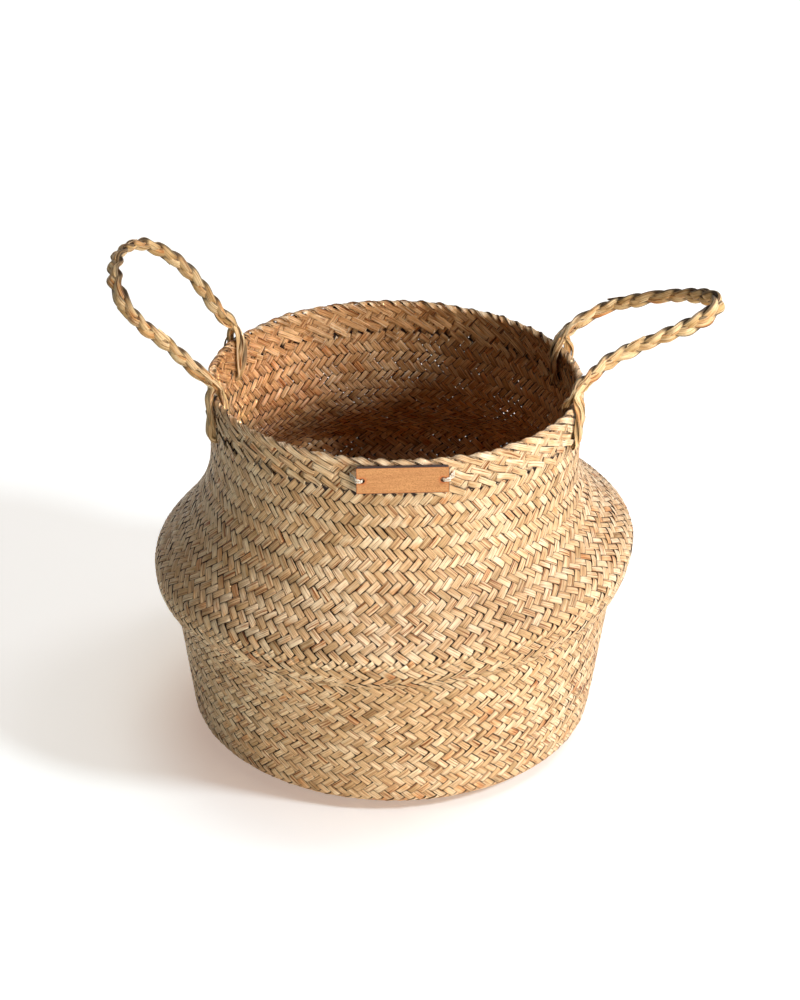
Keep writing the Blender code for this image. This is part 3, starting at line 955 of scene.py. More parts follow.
@dataclass
class WovenWall:
    """The twill wall: two crossing sets of flat strands, each over two and under two."""

    lattice: Lattice
    tool: NodeTool
    finish: bpy.types.Material
    variants: int = 14
    lift: float = 0.00060
    half_thickness: float = 0.00040
    width_spread: float = 0.16
    sway: float = 0.00028
    roll: float = math.radians(9.0)
    sharpness: float = 0.18
    lower_top: float = 0.127
    shoulder_top: float = 0.1815
    fold_start: float = 0.1395
    fold_end: float = 0.178
    rim_lift: float = 0.00080
    rim_rows: float = 5.6
    ripple: float = 0.0016
    ripple_size: float = 0.055
    jitter: float = 0.00045
    jitter_size: float = 0.0065

    def shape_values(self) -> dict[str, Any]:
        """The inputs that every ring shares, so that all pieces lean and ripple alike."""
        shape = self.lattice.shape
        return {"Belly Lean": shape.belly_lean, "Belly Height": shape.belly_height, "Lean Reach": shape.lean_reach,
                "Belly Radius": shape.belly_radius, "Ripple": self.ripple, "Ripple Size": self.ripple_size,
                "Jitter": self.jitter, "Jitter Size": self.jitter_size, "Finish": self.finish}

    def samples(self, first: float, last: float) -> Array:
        """Row numbers along a strand, closer together where it dives."""
        turns = np.arange(math.floor((first - 4) / 2) * 2 + 1.5, last + 4, 2.0)
        rows = (turns[:, None] + np.array([0.0, 0.15, 0.45, 1.55, 1.85])).ravel()
        rows = rows[(rows > first + 0.02) & (rows < last - 0.02)]
        return np.concatenate([[first], rows, [last]])

    def height(self, rows: Array, slant: Slant) -> tuple[Array, Array]:
        """How far a strand stands out of the wall's middle.

        Args:
            rows: Row numbers along the strand.
            slant: Which way it rises.

        Returns:
            The distance out, and the same as a share between -1 and 1.
        """
        phase = (rows + 0.5) / 2
        away = 1 - np.abs((phase - np.floor(phase)) * 2 - 1)
        sign = np.where(np.floor(phase).astype(int) % 2 == 0, 1.0, -1.0) * slant.value
        share = sign * np.tanh(away / self.sharpness)
        height = share * self.lift * (0.85 + 0.35 * away)
        rim = np.clip((rows - (self.lattice.shape.top_row - self.rim_rows)) / 0.8, 0, 1)
        return height * (1 - rim) + rim * self.rim_lift * slant.value, share * (1 - rim) + rim * slant.value

    def strand(self, slant: Slant, first: float, last: float, width: float, seed: int) -> Ribbon:
        """One strand of a zone.

        Args:
            slant: Which way it rises.
            first: The row where it starts.
            last: The row where it ends.
            width: Its mean width, as a share of its place in the weave.
            seed: The seed of its unevenness, the same in every zone.

        Returns:
            The strand, at angle zero.
        """
        shape = self.lattice.shape
        random = np.random.default_rng(seed)
        every = np.arange(-20.0, shape.top_row + 6.0, 0.25)
        wide = random.uniform(-1, 1) * 0.6 + smooth_noise(random, every, 9.0) * 0.9
        sway = smooth_noise(random, every, 5.0)
        proud = smooth_noise(random, every, 2.0)
        roll = smooth_noise(random, every, 2.0)
        rows = self.samples(first, last)
        points, outward = self.lattice.at(rows)
        height, share = self.height(rows, slant)
        section = points + outward * (height + 0.00010 * np.interp(rows, every, proud))[:, None]
        angles = slant.value * math.pi * rows / shape.strands + self.sway * np.interp(rows, every, sway) / points[:, 0]
        half = shape.strand_width / 2 * width * (1 + self.width_spread * np.interp(rows, every, wide))
        return Ribbon(self.lattice.turned(section, angles), self.lattice.turned(outward, angles), half,
                      np.full(len(rows), self.half_thickness), self.roll * np.interp(rows, every, roll) * (share > 0),
                      share, np.zeros(len(rows)))

    def family(self, name: str, meshes: Sequence[bpy.types.Mesh]) -> bpy.types.Collection:
        """Puts strand meshes into a collection that a ring draws from."""
        family = bpy.data.collections.new(name)
        for number, mesh in enumerate(meshes):
            family.objects.link(bpy.data.objects.new(f"{name}_{number:03d}", mesh))
        return family

    def ring(self, name: str, meshes: Sequence[bpy.types.Mesh], count: int, groups: int, seed: int,
             angle: float = 0.0, finish: bpy.types.Material | None = None) -> bpy.types.Object:
        """Sets strands round the basket.

        Args:
            name: The piece's name.
            meshes: The strands to draw from, group by group.
            count: How many places there are round the ring.
            groups: How many groups take turns.
            seed: The seed of the draw.
            angle: The angle of the first strand.
            finish: Its finish, where that isn't the wall's.

        Returns:
            The piece as a plain mesh.
        """
        family = self.family(name + "_family", meshes)
        piece = self.tool.run(name, bpy.data.meshes.new(name + "_seed"), {
            "Family": family, "Strands": count, "Groups": groups,
            "Each Group": len(meshes) // groups, "First Angle": angle, "Seed": seed, **self.shape_values(),
            "Finish": finish or self.finish})
        for item in list(family.objects):
            bpy.data.objects.remove(item)
        bpy.data.collections.remove(family)
        return piece

    def build(self) -> list[bpy.types.Object]:
        """Weaves every zone, attaches each zone that has one body to that body, and leaves the shoulder, which spans
        two, in place.
        """
        lower = self.lattice.row_at_height(self.lower_top)
        shoulder = self.lattice.row_at_height(self.shoulder_top)
        spans = {Zone.LOWER: (self.lattice.first_row, lower), Zone.SHOULDER: (lower, shoulder),
                 Zone.NECK: (shoulder, float(self.lattice.shape.top_row))}
        pieces = []
        for zone, (first, last) in spans.items():
            name, nodes, bodies, width = zone.value
            for slant in Slant:
                seed = 100 if slant is Slant.RIGHT else 500
                meshes = [self.strand(slant, first, last, width, seed + k).mesh("strand") for k in range(self.variants)]
                piece = self.ring(f"weave_{name}_{slant.name.lower()}", meshes, self.lattice.shape.strands, 1, seed)
                if len(bodies) == 1:
                    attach(piece, bodies[0])
                else:
                    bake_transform(piece)
                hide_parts(*nodes)
                pieces.append(piece)
        return pieces


# ---- Border ----

class Side(Enum):
    """The side of the wall that a folded end lies on."""

    OUTER = 1
    INNER = -1


@dataclass(frozen=True)
class Course:
    """One set of folded ends: its side, number, slant, and how each end weaves.

    The pattern says, strand by strand of the wall, whether the end lies over (1) or under (0).
    """

    side: Side
    tails: int
    groups: int
    slope: float
    width: float
    last: float
    crest_share: float
    crest_lift: float
    patterns: tuple[tuple[int, ...], ...]


COURSES = (
    Course(Side.OUTER, 62, 1, math.radians(25.0), 0.0045, 9.7, 1.05, 0.00024,
           ((1, 1, 1, 0, 1, 1, 1, 0, 1, 1, 1), (1, 1, 1, 0, 1, 1, 1, 0, 1, 1, 1), (1, 1, 0, 1, 1, 1, 0, 1, 1, 1, 1))),
    Course(Side.INNER, 93, 3, math.radians(31.0), 0.0042, 9.2, 0.95, 0.0,
           ((1, 1, 1, 0, 1, 1, 1, 0, 1, 1, 1), (1, 1, 1, 0, 1, 1, 1, 1, 1, 0, 1), (1, 1, 0, 1, 1, 1, 0, 1, 1, 1, 1))),
)


@dataclass
class Border:
    """The strands' ends, folded over the edge at a low slant and tucked back into the wall."""

    wall: WovenWall
    finish: bpy.types.Material
    variants: int = 9
    half_thickness: float = 0.00036
    over: float = 0.00158
    under: float = 0.00005
    curl: float = 0.0018
    fold_radius: float = 0.00156
    fold_start: float = 0.00105
    step: float = 0.0008
    slope_spread: float = math.radians(3.2)
    crest_spread: float = 0.0007

    def crossings(self, heights: Array, turned: Array, phase: float) -> Array:
        """Counts the wall strands that a folded end has crossed.

        Args:
            heights: The height of each point below the edge.
            turned: The angle of each point past the edge.
            phase: Where the end starts between two strands.

        Returns:
            The count at each point, whole where a strand is crossed.
        """
        lattice, shape = self.wall.lattice, self.wall.lattice.shape
        rows = np.interp(heights, lattice.points[:, 1], lattice.rows)
        passed = (turned + math.pi * (shape.top_row - rows) / shape.strands) * shape.strands / (2 * math.pi)
        return passed + phase - 0.5

    def fold(self, course: Course, lift: float) -> Array:
        """The section of the fold over the edge, as rows of radius, height and facing.

        Args:
            course: The set that the end belongs to.
            lift: How much further out this end folds than the others of its set.
        """
        middle = self.wall.lattice.shape.neck_radius - self.wall.lattice.shape.wall / 2
        turn = np.linspace(math.radians(170), 0, 8)
        radius = np.interp(turn, [math.radians(60), math.radians(120)], [self.fold_radius, self.fold_start])
        radius = radius + (course.crest_lift + lift) * np.sin(turn)
        return np.stack([middle + radius * np.cos(turn), self.wall.lattice.shape.edge_height + radius * np.sin(turn),
                         np.cos(turn), np.sin(turn)], 1)

    def tail(self, course: Course, group: int, seed: int) -> Ribbon:
        """One folded end.

        Args:
            course: The set that it belongs to.
            group: Its group, which sets where it starts between two strands.
            seed: The seed of its unevenness.

        Returns:
            The strand, at angle zero.
        """
        lattice, shape = self.wall.lattice, self.wall.lattice.shape
        random = np.random.default_rng(seed)
        middle = shape.neck_radius - shape.wall / 2
        slope = course.slope + random.uniform(-1, 1) * self.slope_spread
        fold = self.fold(course, random.uniform(0.0, self.crest_spread))
        walked = np.concatenate([[0.0], np.cumsum(np.linalg.norm(np.diff(fold[:, :2], axis=0), axis=1))])
        fold_turned = (walked - walked[-1]) / math.tan(slope) / middle

        reach = np.arange(self.step, 0.060, self.step)
        heights = shape.edge_height - reach * math.sin(slope)
        turned = reach * math.cos(slope) / middle
        crossed = self.crossings(heights, turned, group / course.groups)
        last = course.last + random.uniform(-1.0, 0.35)
        keep = crossed < last
        heights, turned, crossed = heights[keep], turned[keep], crossed[keep]
        levels = np.array(course.patterns[seed % len(course.patterns)], float)
        whole = np.clip(np.floor(crossed).astype(int), 0, len(levels) - 2)
        blend = np.clip((crossed - whole - 0.5) / 0.30 + 0.5, 0, 1)
        blend = blend * blend * (3 - 2 * blend)
        share = levels[whole] * (1 - blend) + levels[whole + 1] * blend
        share = np.where(crossed < 0, 1.0, share)
        end = np.clip((crossed - last + 1.3) / 1.3, 0, 1) ** 2
        out = self.under + (self.over - self.under) * share + random.uniform(0.1, 1.0) * self.curl * end
        section = np.concatenate([fold[:, :2], np.stack([middle + out, heights], 1)])
        facing = np.concatenate([fold[:, 2:], np.tile([1.0, 0.0], (len(out), 1))])
        angles = np.concatenate([fold_turned, turned])
        places = np.arange(len(angles), dtype=float)
        section[:, 1] += smooth_noise(random, places, 12.0) * 0.0007 * np.clip((places - 8) / 10, 0, 1)
        if course.side is Side.INNER:
            section[:, 0] = 2 * middle - section[:, 0]
            facing[:, 0] *= -1
            angles = -angles
        angles = angles - course.side.value * math.pi * shape.top_row / shape.strands
        crest = np.exp(-((section[:, 1] - shape.rim_height) / 0.0024) ** 2)
        half = course.width / 2 * (1 + random.uniform(-0.26, 0.10)) * (1 - (1 - course.crest_share) * crest)
        half = half * (1 + 0.10 * smooth_noise(random, places, 8.0))
        past = len(fold)
        half[past:] *= 1 - random.uniform(0.05, 0.4) * end
        depth = np.concatenate([np.full(past, 3.0), share * 2 - 1])
        cut = np.zeros(len(places))
        cut[-1] = random.uniform(0.3, 1.0)
        roll = course.side.value * crest * math.radians(14.0) + math.radians(12.0) * smooth_noise(random, places, 7.0)
        return Ribbon(lattice.turned(section, angles), lattice.turned(facing, angles), half,
                      np.full(len(places), self.half_thickness), roll, depth, cut)

    def build(self) -> list[bpy.types.Object]:
        """Folds both sets of ends, the outer over the outside and the inner over the inside."""
        pieces = []
        for course in COURSES:
            seed = 900 + 50 * course.side.value
            meshes = [self.tail(course, group, seed + 20 * group + k).mesh("tail")
                      for group in range(course.groups) for k in range(self.variants)]
            piece = self.wall.ring(f"border_{course.side.name.lower()}", meshes, course.tails, course.groups, seed,
                                   finish=self.finish)
            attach(piece, "neck")
            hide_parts("rim_border")
            pieces.append(piece)
        return pieces


# ---- Base ----

@dataclass
class BaseMat:
    """The flat twill mat under the basket, whose strands lie square to each other."""

    shape: BasketShape
    finish: bpy.types.Material
    radius: float = 0.1032
    middle_height: float = 0.00125
    lift: float = 0.00048
    half_thickness: float = 0.00036
    edge_lift: float = 0.0009

    def strand(self, number: int, count: int, lengthwise: bool, random: np.random.Generator) -> Ribbon:
        """One strand of the mat.

        Args:
            number: Its place, counted from one side.
            count: The number of strands each way.
            lengthwise: Whether it runs along X.
            random: The seeded source of numbers.

        Returns:
            The strand in place.
        """
        pitch = self.shape.strand_width
        across = (number - (count - 1) / 2) * pitch
        reach = math.sqrt(max(self.radius ** 2 - across ** 2, 0.0))
        cells = np.arange(-0.5, count, 0.25)
        along = (cells - (count - 1) / 2) * pitch
        inside = np.abs(along) < reach
        cells, along = cells[inside], along[inside]
        way = 1 if lengthwise else -1
        phase = ((cells - number) * way + 0.5) / 2
        away = 1 - np.abs((phase - np.floor(phase)) * 2 - 1)
        sign = np.where(np.floor(phase).astype(int) % 2 == 0, 1.0, -1.0) * way
        share = sign * np.tanh(away / 0.22)
        height = self.middle_height + share * self.lift
        radius = np.hypot(along, across)
        height = height + self.edge_lift * np.clip((radius - 0.0965) / 0.004, 0, 1)
        sway = 0.0002 * smooth_noise(random, cells, 5.0)
        middle = np.stack([along, across + sway, height], 1)
        if not lengthwise:
            middle = middle[:, [1, 0, 2]]
        count_here = len(middle)
        half = pitch / 2 * 0.97 * (1 + 0.08 * smooth_noise(random, cells, 8.0))
        return Ribbon(middle, np.tile([0.0, 0.0, 1.0], (count_here, 1)), half,
                      np.full(count_here, self.half_thickness), np.zeros(count_here), share,
                      np.zeros(count_here), float(random.uniform(0, 1)))

    def build(self) -> bpy.types.Object:
        """Weaves the mat."""
        random = np.random.default_rng(31)
        count = int(2 * self.radius / self.shape.strand_width)
        ribbons = [self.strand(number, count, lengthwise, random)
                   for lengthwise in (True, False) for number in range(count)]
        piece = plain_piece("base_weave", ribbons_mesh("base_weave", [r for r in ribbons if len(r.middle) > 3]), self.finish)
        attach(piece, "lower_basket")
        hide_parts("base_mat")
        return piece


# ---- Handles ----

def smooth_route(points: Array, count: int) -> Array:
    """Evenly numbered points on a smooth curve through the given ones (Catmull-Rom)."""
    points = np.asarray(points, float)
    padded = np.concatenate([[2 * points[0] - points[1]], points, [2 * points[-1] - points[-2]]])
    place = np.linspace(0, len(points) - 1, count)
    index = np.minimum(place.astype(int), len(points) - 2)
    t = (place - index)[:, None]
    a, b, c, d = (padded[index + k] for k in range(4))
    return (2 * b + (c - a) * t + (2 * a - 5 * b + 4 * c - d) * t ** 2 + (3 * b - a - 3 * c + d) * t ** 3) / 2


def even_route(points: Array, pitch: float) -> Array:
    """Points at an even distance along a line."""
    lengths = line_lengths(points)
    even = np.linspace(0, lengths[-1], max(int(lengths[-1] / pitch), 3))
    return np.stack([np.interp(even, lengths, points[:, k]) for k in range(3)], 1)


@dataclass
class Handle:
    """A plaited rope handle, whose ends fork and go through the neck."""

    name: str
    body: str
    shape: BasketShape
    tool: NodeTool
    finish: bpy.types.Material
    angles: tuple[float, float]
    lift: float
    reach: float
    twist: float
    loop_shares: tuple[tuple[float, float], ...]
    eyes: tuple[str, str]
    seed: int
    strays: tuple[tuple[float, int], ...]
    pivot_height: float = 0.2576
    pitch: float = 0.041
    spread: float = 0.00200
    deep: float = 0.00135
    ply: float = 0.00285
    strip: float = 0.00185
    step: float = 0.0013
    leg_cut: int = 5
    far_swell: float = 0.26
    far_place: float = 0.46
    leg_shift: float = 0.0016
    leg_twist: float = 0.0012
    leg_turns: float = 1.2

    def rim_point(self, angle: float, out: float = 0.0, height: float | None = None) -> Array:
        """A point near the rim, by its angle, its distance out of the wall's middle and its height."""
        radius = self.shape.neck_radius - self.shape.wall / 2 + out
        return np.array([radius * math.cos(angle), radius * math.sin(angle),
                         self.pivot_height if height is None else height])

    def loop(self) -> tuple[Array, Array, Array]:
        """The rope's centreline and the way its flat side faces.

        Returns:
            Even points, the facing directions and the sideways directions, from front to back.
        """
        start, end = self.rim_point(self.angles[0]), self.rim_point(self.angles[1])
        middle = (start + end) / 2
        along = (end - start) / np.linalg.norm(end - start)
        half = np.linalg.norm(end - start) / 2
        outward = np.array([middle[0], middle[1], 0.0])
        outward /= np.linalg.norm(outward)
        up = outward * math.cos(self.lift) + np.array([0.0, 0.0, 1.0]) * math.sin(self.lift)
        normal = np.cross(along, up)
        points = []
        for side_share, reach_share in self.loop_shares:
            side, out = side_share * half, reach_share * self.reach
            points.append(middle + along * side + up * out + normal * (side * math.tan(self.twist) * reach_share))
        route = even_route(smooth_route(np.array(points), 400), self.step)
        ahead = np.gradient(route, axis=0)
        ahead /= np.linalg.norm(ahead, axis=1, keepdims=True)
        side = normal - ahead * (ahead @ normal)[:, None]
        side /= np.linalg.norm(side, axis=1, keepdims=True)
        return route, np.cross(side, ahead), side

    def leg_points(self, angle: float, side: Side) -> Array:
        """The way of a fork's leg from the pivot, down the border and into the wall."""
        path = ((0.0008, 0.2566), (0.0024, 0.2536), (0.0042, 0.2494), (0.0049, 0.2435), (0.0049, 0.2360),
                (0.0045, 0.2288), (0.0034, 0.2232), (0.0012, 0.2205), (-0.0004, 0.2200))
        return np.array([self.rim_point(angle, side.value * out, height) for out, height in path])

    def leg(self, angle: float, leg_side: Side, start: Array, first: Array, shift: float,
            proud: float, turn: float, twist: float, wind: float) -> tuple[Array, Array, Array]:
        """The way of a ply or strip from the rope down its side of the wall.

        Args:
            angle: The angle of the handle's end round the basket.
            leg_side: The side of the wall.
            start: The points where it leaves the rope.
            first: The way it faces there.
            shift: Its distance from the leg's middle, along the rim.
            proud: Its distance from the leg's middle, away from the wall.
            turn: How far it turns flat on to the wall.
            twist: The radius at which it winds about the leg's middle.
            wind: Where its winding starts.

        Returns:
            Even points, the directions that it faces, and how near each point is to the bundle's outside.
        """
        tangent = np.array([-math.sin(angle), math.cos(angle), 0.0])
        radial = np.array([math.cos(angle), math.sin(angle), 0.0]) * leg_side.value
        way = self.leg_points(angle, leg_side)
        spread = np.interp(np.arange(len(way)), [0, 2, 5, 8], [0.8, 1.0, 1.15, 0.7])
        way = way + tangent * (shift * spread)[:, None] + radial * proud
        winding = np.linspace(0, 2 * math.pi * self.leg_turns, len(way)) + wind
        way = way + (tangent * np.sin(winding)[:, None] + radial * np.cos(winding)[:, None]) * twist
        points = even_route(smooth_route(np.concatenate([start, way]), 90), self.step)
        turned = np.minimum(np.linspace(0, 3, len(points)), 1)[:, None] * turn
        face = first * (1 - turned) + radial * turned + tangent * (shift * 180 * turn)
        # The finish darkens points away from the bundle's outside as painted shade.
        depth = 0.30 + 0.70 * np.cos(np.interp(np.linspace(0, 1, len(points)), [0.15, 1], winding[[0, -1]]))
        return points, face / np.linalg.norm(face, axis=1, keepdims=True), depth

    def plies(self) -> list[Path3]:
        """The three plies of the plait, which go on as the legs of its forks."""
        random = np.random.default_rng(self.seed)
        route, facing, side = self.loop()
        lengths = line_lengths(route)
        wobble = smooth_noise(random, lengths, 0.024) * 0.40
        full = 1 + self.far_swell * np.exp(-((lengths / lengths[-1] - self.far_place) / 0.13) ** 2)
        paths = []
        for number in range(3):
            phase = 2 * math.pi * (lengths / self.pitch + number / 3) + wobble
            points = route + side * (self.spread * full * np.sin(phase))[:, None] \
                + facing * (self.deep * full * np.sin(2 * phase))[:, None]
            thick = self.ply * full * (1 + 0.13 * smooth_noise(random, lengths, 0.012))
            # The depth sin(2 phase) marks where a ply lies under the others; the finish darkens it there as painted
            # shade.
            columns = [points, facing, thick, np.sin(2 * phase)]
            for which in (1, 0):
                points, face, thick, depth = (column[:-self.leg_cut] for column in columns)
                leg, leg_face, leg_depth = self.leg(self.angles[which], LEG_SIDES[which][number], points[[-4, -1]],
                                                    face[-1], (number - 1) * self.leg_shift, 0.0002, 0.3,
                                                    self.leg_twist, number * 2.4)
                share = np.linspace(0, 1, len(leg))
                ends = (leg, leg_face, np.interp(share, [0, 0.3, 1], [thick[-1], self.ply * 0.82, self.ply * 0.70]),
                        leg_depth * share + depth[-1] * (1 - share))
                columns = [np.concatenate([kept[:-4], end])[::-1] for kept, end in zip((points, face, thick, depth), ends)]
            points, face, thick, depth = columns
            paths.append(Path3(points, face, thick * (1 + 0.10 * smooth_noise(random, line_lengths(points), 0.006)),
                               0.20 * smooth_noise(random, line_lengths(points), 0.008), random.uniform(0, 1), depth))
        return paths

    def strips(self) -> list[Path3]:
        """The flat leaf strips over the forks, and the loose ends along the rope."""
        random = np.random.default_rng(self.seed + 50)
        route, facing, side = self.loop()
        paths = []
        for which, angle in enumerate(self.angles):
            order = slice(None) if which == 0 else slice(None, None, -1)
            near, near_side, near_facing = route[order], side[order], facing[order]
            radial = np.array([math.cos(angle), math.sin(angle), 0.0])
            for leg_side in Side:
                first = near_side[8] * (leg_side.value * np.sign(near_side[4] @ radial))
                for place in (-1.0, -0.4, 0.3, 0.9):
                    start = np.array([near[k] + near_facing[k] * (place * 0.0022) + first * 0.0024 for k in (12, 8, 4)])
                    points, face, depth = self.leg(angle, leg_side, start, first, place * 0.0028,
                                                   random.uniform(-0.0002, 0.0012), random.uniform(0.2, 1.0),
                                                   random.uniform(0.0010, 0.0018), random.uniform(0, 2 * math.pi))
                    thick = self.strip * random.uniform(0.7, 1.05) * np.interp(np.linspace(0, 1, len(points)), [0, 0.15, 1], [0.6, 1.0, 0.95])
                    paths.append(Path3(points, face, thick, 0.35 * smooth_noise(random, np.arange(len(points)), 6.0),
                                       random.uniform(0, 1), depth))
        for share, sign in self.strays:
            start = int(share * len(route))
            span = np.arange(start, min(start + int(random.uniform(9, 14)), len(route) - 1))
            rise = np.linspace(0, 1, len(span))[:, None]
            points = route[span] + side[span] * (sign * (0.0032 + 0.0018 * rise ** 2)) + facing[span] * 0.0008
            face = facing[span] + side[span] * (sign * 0.3)
            paths.append(Path3(points, face / np.linalg.norm(face, axis=1, keepdims=True),
                               self.strip * np.interp(rise[:, 0], [0, 0.3, 1], [0.5, 0.9, 0.45]), 0.0, random.uniform(0, 1),
                               1.0, np.clip(rise[:, 0] * 8 - 7, 0, 1)))
        return paths

    def build(self) -> list[bpy.types.Object]:
        """Plaits the handle and its strips, and hides the CAD rope and eyes that they replace."""
        parts = (("plait", self.plies(), {"Sides": 40, "Notches": 5.0, "Notch Depth": 0.13, "Flatness": 0.48}),
                 ("strips", self.strips(), {"Sides": 16, "Notches": 2.0, "Notch Depth": 0.10, "Flatness": 0.26}))
        pieces = []
        for kind, paths, values in parts:
            name = f"{self.name}_{kind}"
            piece = self.tool.run(name, path_mesh(name + "_paths", paths), {**values, "Finish": self.finish})
            for polygon in piece.data.polygons:
                polygon.use_smooth = True
            self.pivot_height - 0.005
            self.pivot_height + 0.005
            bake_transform(piece)
            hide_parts("handle_rope_" + self.name.split("_")[1], *self.eyes)
            pieces.append(piece)
        return pieces


LEG_SIDES = ((Side.OUTER, Side.INNER, Side.OUTER), (Side.OUTER, Side.INNER, Side.INNER))
LEFT_LOOP_SHARES = ((-1.0, 0.0), (-1.02, 0.13), (-1.0, 0.28), (-0.97, 0.46), (-1.0, 0.64), (-0.86, 0.81),
                    (-0.50, 0.95), (0.02, 1.0), (0.48, 0.94), (0.82, 0.82), (1.02, 0.66), (1.10, 0.48),
                    (1.04, 0.30), (0.93, 0.14), (1.0, 0.0))
RIGHT_LOOP_SHARES = ((-1.0, 0.0), (-0.72, 0.12), (-0.48, 0.26), (-0.40, 0.42), (-0.42, 0.60), (-0.43, 0.77),
                     (-0.36, 0.91), (-0.12, 1.0), (0.18, 0.95), (0.56, 0.82), (0.86, 0.67), (1.10, 0.50),
                     (1.25, 0.32), (1.18, 0.14), (1.0, 0.0))


LEFT_STRAYS = ((0.16, 1), (0.27, -1), (0.47, -1), (0.52, 1), (0.70, -1))
RIGHT_STRAYS = ((0.20, -1), (0.47, 1), (0.50, -1), (0.53, 1), (0.80, -1))


# ---- Tag ----

@dataclass
class Tag:
    """The wooden tag and the two threads that tie it to the border."""

    shape: BasketShape
    tool: NodeTool
    length: float = 0.056
    width: float = 0.0175
    thickness: float = 0.0026
    drop: float = 0.010
    azimuth: float = math.radians(-87.7)
    roll: float = math.radians(1.2)
    hole_radius: float = 0.0015
    hole_inset: float = 0.0037
    thread: float = 0.00042
    gap: float = 0.0003

    def place(self) -> Matrix:
        """The tag's frame: +X along it and -Y straight out, from the basket's axis."""
        return (Matrix.Rotation(self.azimuth + math.pi / 2, 4, "Z")
                @ Matrix.Translation((0.0, 0.0, self.shape.rim_height - self.drop))
                @ Matrix.Rotation(-self.roll, 4, "Y"))

    def back(self) -> float:
        """The distance from the basket's axis to the tag's flat back."""
        return self.shape.neck_radius - self.shape.wall / 2 + self.shape.border_half + self.gap

    def dress(self) -> bpy.types.Object:
        """Gives the CAD plate its plywood."""
        plate = frame["nodes"]["tag_plate"]
        finish = Plywood("plywood", self.place(), self.length, self.width, self.hole_inset, self.hole_radius).material()
        plate.data.materials.clear()
        plate.data.materials.append(finish)
        return plate

    def threads(self, side: int) -> bpy.types.Object:
        """The threads through one hole, over the tag's end and into the border.

        Args:
            side: -1 for the left end and 1 for the right end.

        Returns:
            The piece.
        """
        hole = self.length / 2 - self.hole_inset
        front = self.back() + self.thickness
        name = "tag_threads_left" if side < 0 else "tag_threads_right"
        random = np.random.default_rng(70 + side)
        fans = ((0.0006, 0.0010, 0.0), (-0.0003, -0.0004, 0.0003), (0.0002, 0.0022, -0.0001))
        paths = []
        for start, finish, proud in fans:
            route = [(hole - 0.0002, start * 0.4, self.back() - 0.0002), (hole - 0.0001, start * 0.7, front - 0.0004),
                     (hole + 0.0007, start, front + 0.0007 + proud), (hole + 0.0022, (start + finish) / 2, front + 0.0009 + proud),
                     (self.length / 2 + 0.0002, (start * 0.3 + finish * 0.7), front + 0.0005 + proud),
                     (self.length / 2 + 0.0011, finish, self.back() + 0.0009), (self.length / 2 + 0.0026, finish * 1.2, self.back() - 0.0012),
                     (self.length / 2 + 0.0034, finish * 1.3, self.back() - 0.0032)]
            points = np.array([tuple(self.place() @ Vector((side * along, -out, up))) for along, up, out in route])
            points = even_route(smooth_route(points, 60), 0.0003)
            out = np.array(self.place().to_3x3() @ Vector((0.0, -1.0, 0.0)))
            paths.append(Path3(points, out, self.thread, np.arange(len(points)) * 0.35, random.uniform(0, 1)))
        finish = Cotton("cotton_thread").material()
        piece = self.tool.run(name, path_mesh(name + "_paths", paths), {
            "Sides": 12, "Notches": 3.0, "Notch Depth": 0.22, "Flatness": 1.0, "Finish": finish})
        for polygon in piece.data.polygons:
            polygon.use_smooth = True
        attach(piece, "neck")
        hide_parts("tag_tie_left" if side < 0 else "tag_tie_right")
        return piece


# ---- Studio ----

class Lights(Enum):
    """What a lamp lights, as its light linking says it."""

    ALL = None
    OBJECT = "EXCLUDE"
    FLOOR = "INCLUDE"


@dataclass(frozen=True)
class Lamp:
    """One soft lamp, by the direction that its light comes from."""

    name: str
    azimuth: float
    elevation: float
    distance: float
    size: float
    power: float
    colour: Colour = (1.0, 1.0, 1.0)
    lights: Lights = Lights.ALL
    spread: float = 180.0
    aim: float = 0.1

    def build(self, floor: bpy.types.Object) -> None:
        """Adds the lamp, facing the basket.

        Args:
            floor: The floor, which a lamp may leave out or be alone for.
        """
        data = bpy.data.lights.new(self.name, "AREA")
        data.shape = "DISK"
        data.size = self.size
        data.energy = self.power
        data.color = self.colour
        data.spread = math.radians(self.spread)
        lamp = bpy.data.objects.new(self.name, data)
        turn, rise = math.radians(self.azimuth), math.radians(self.elevation)
        away = Vector((math.cos(turn) * math.cos(rise), math.sin(turn) * math.cos(rise), math.sin(rise)))
        lamp.location = away * self.distance + Vector((0.0, 0.0, self.aim))
        lamp.rotation_mode = "QUATERNION"
        lamp.rotation_quaternion = (-away).to_track_quat("-Z", "Y")
        bpy.context.scene.collection.objects.link(lamp)
        if self.lights is not Lights.ALL:
            receivers = bpy.data.collections.new(self.name + "_receivers")
            receivers.objects.link(floor)
            lamp.light_linking.receiver_collection = receivers
            receivers.collection_objects[0].light_linking.link_state = self.lights.value


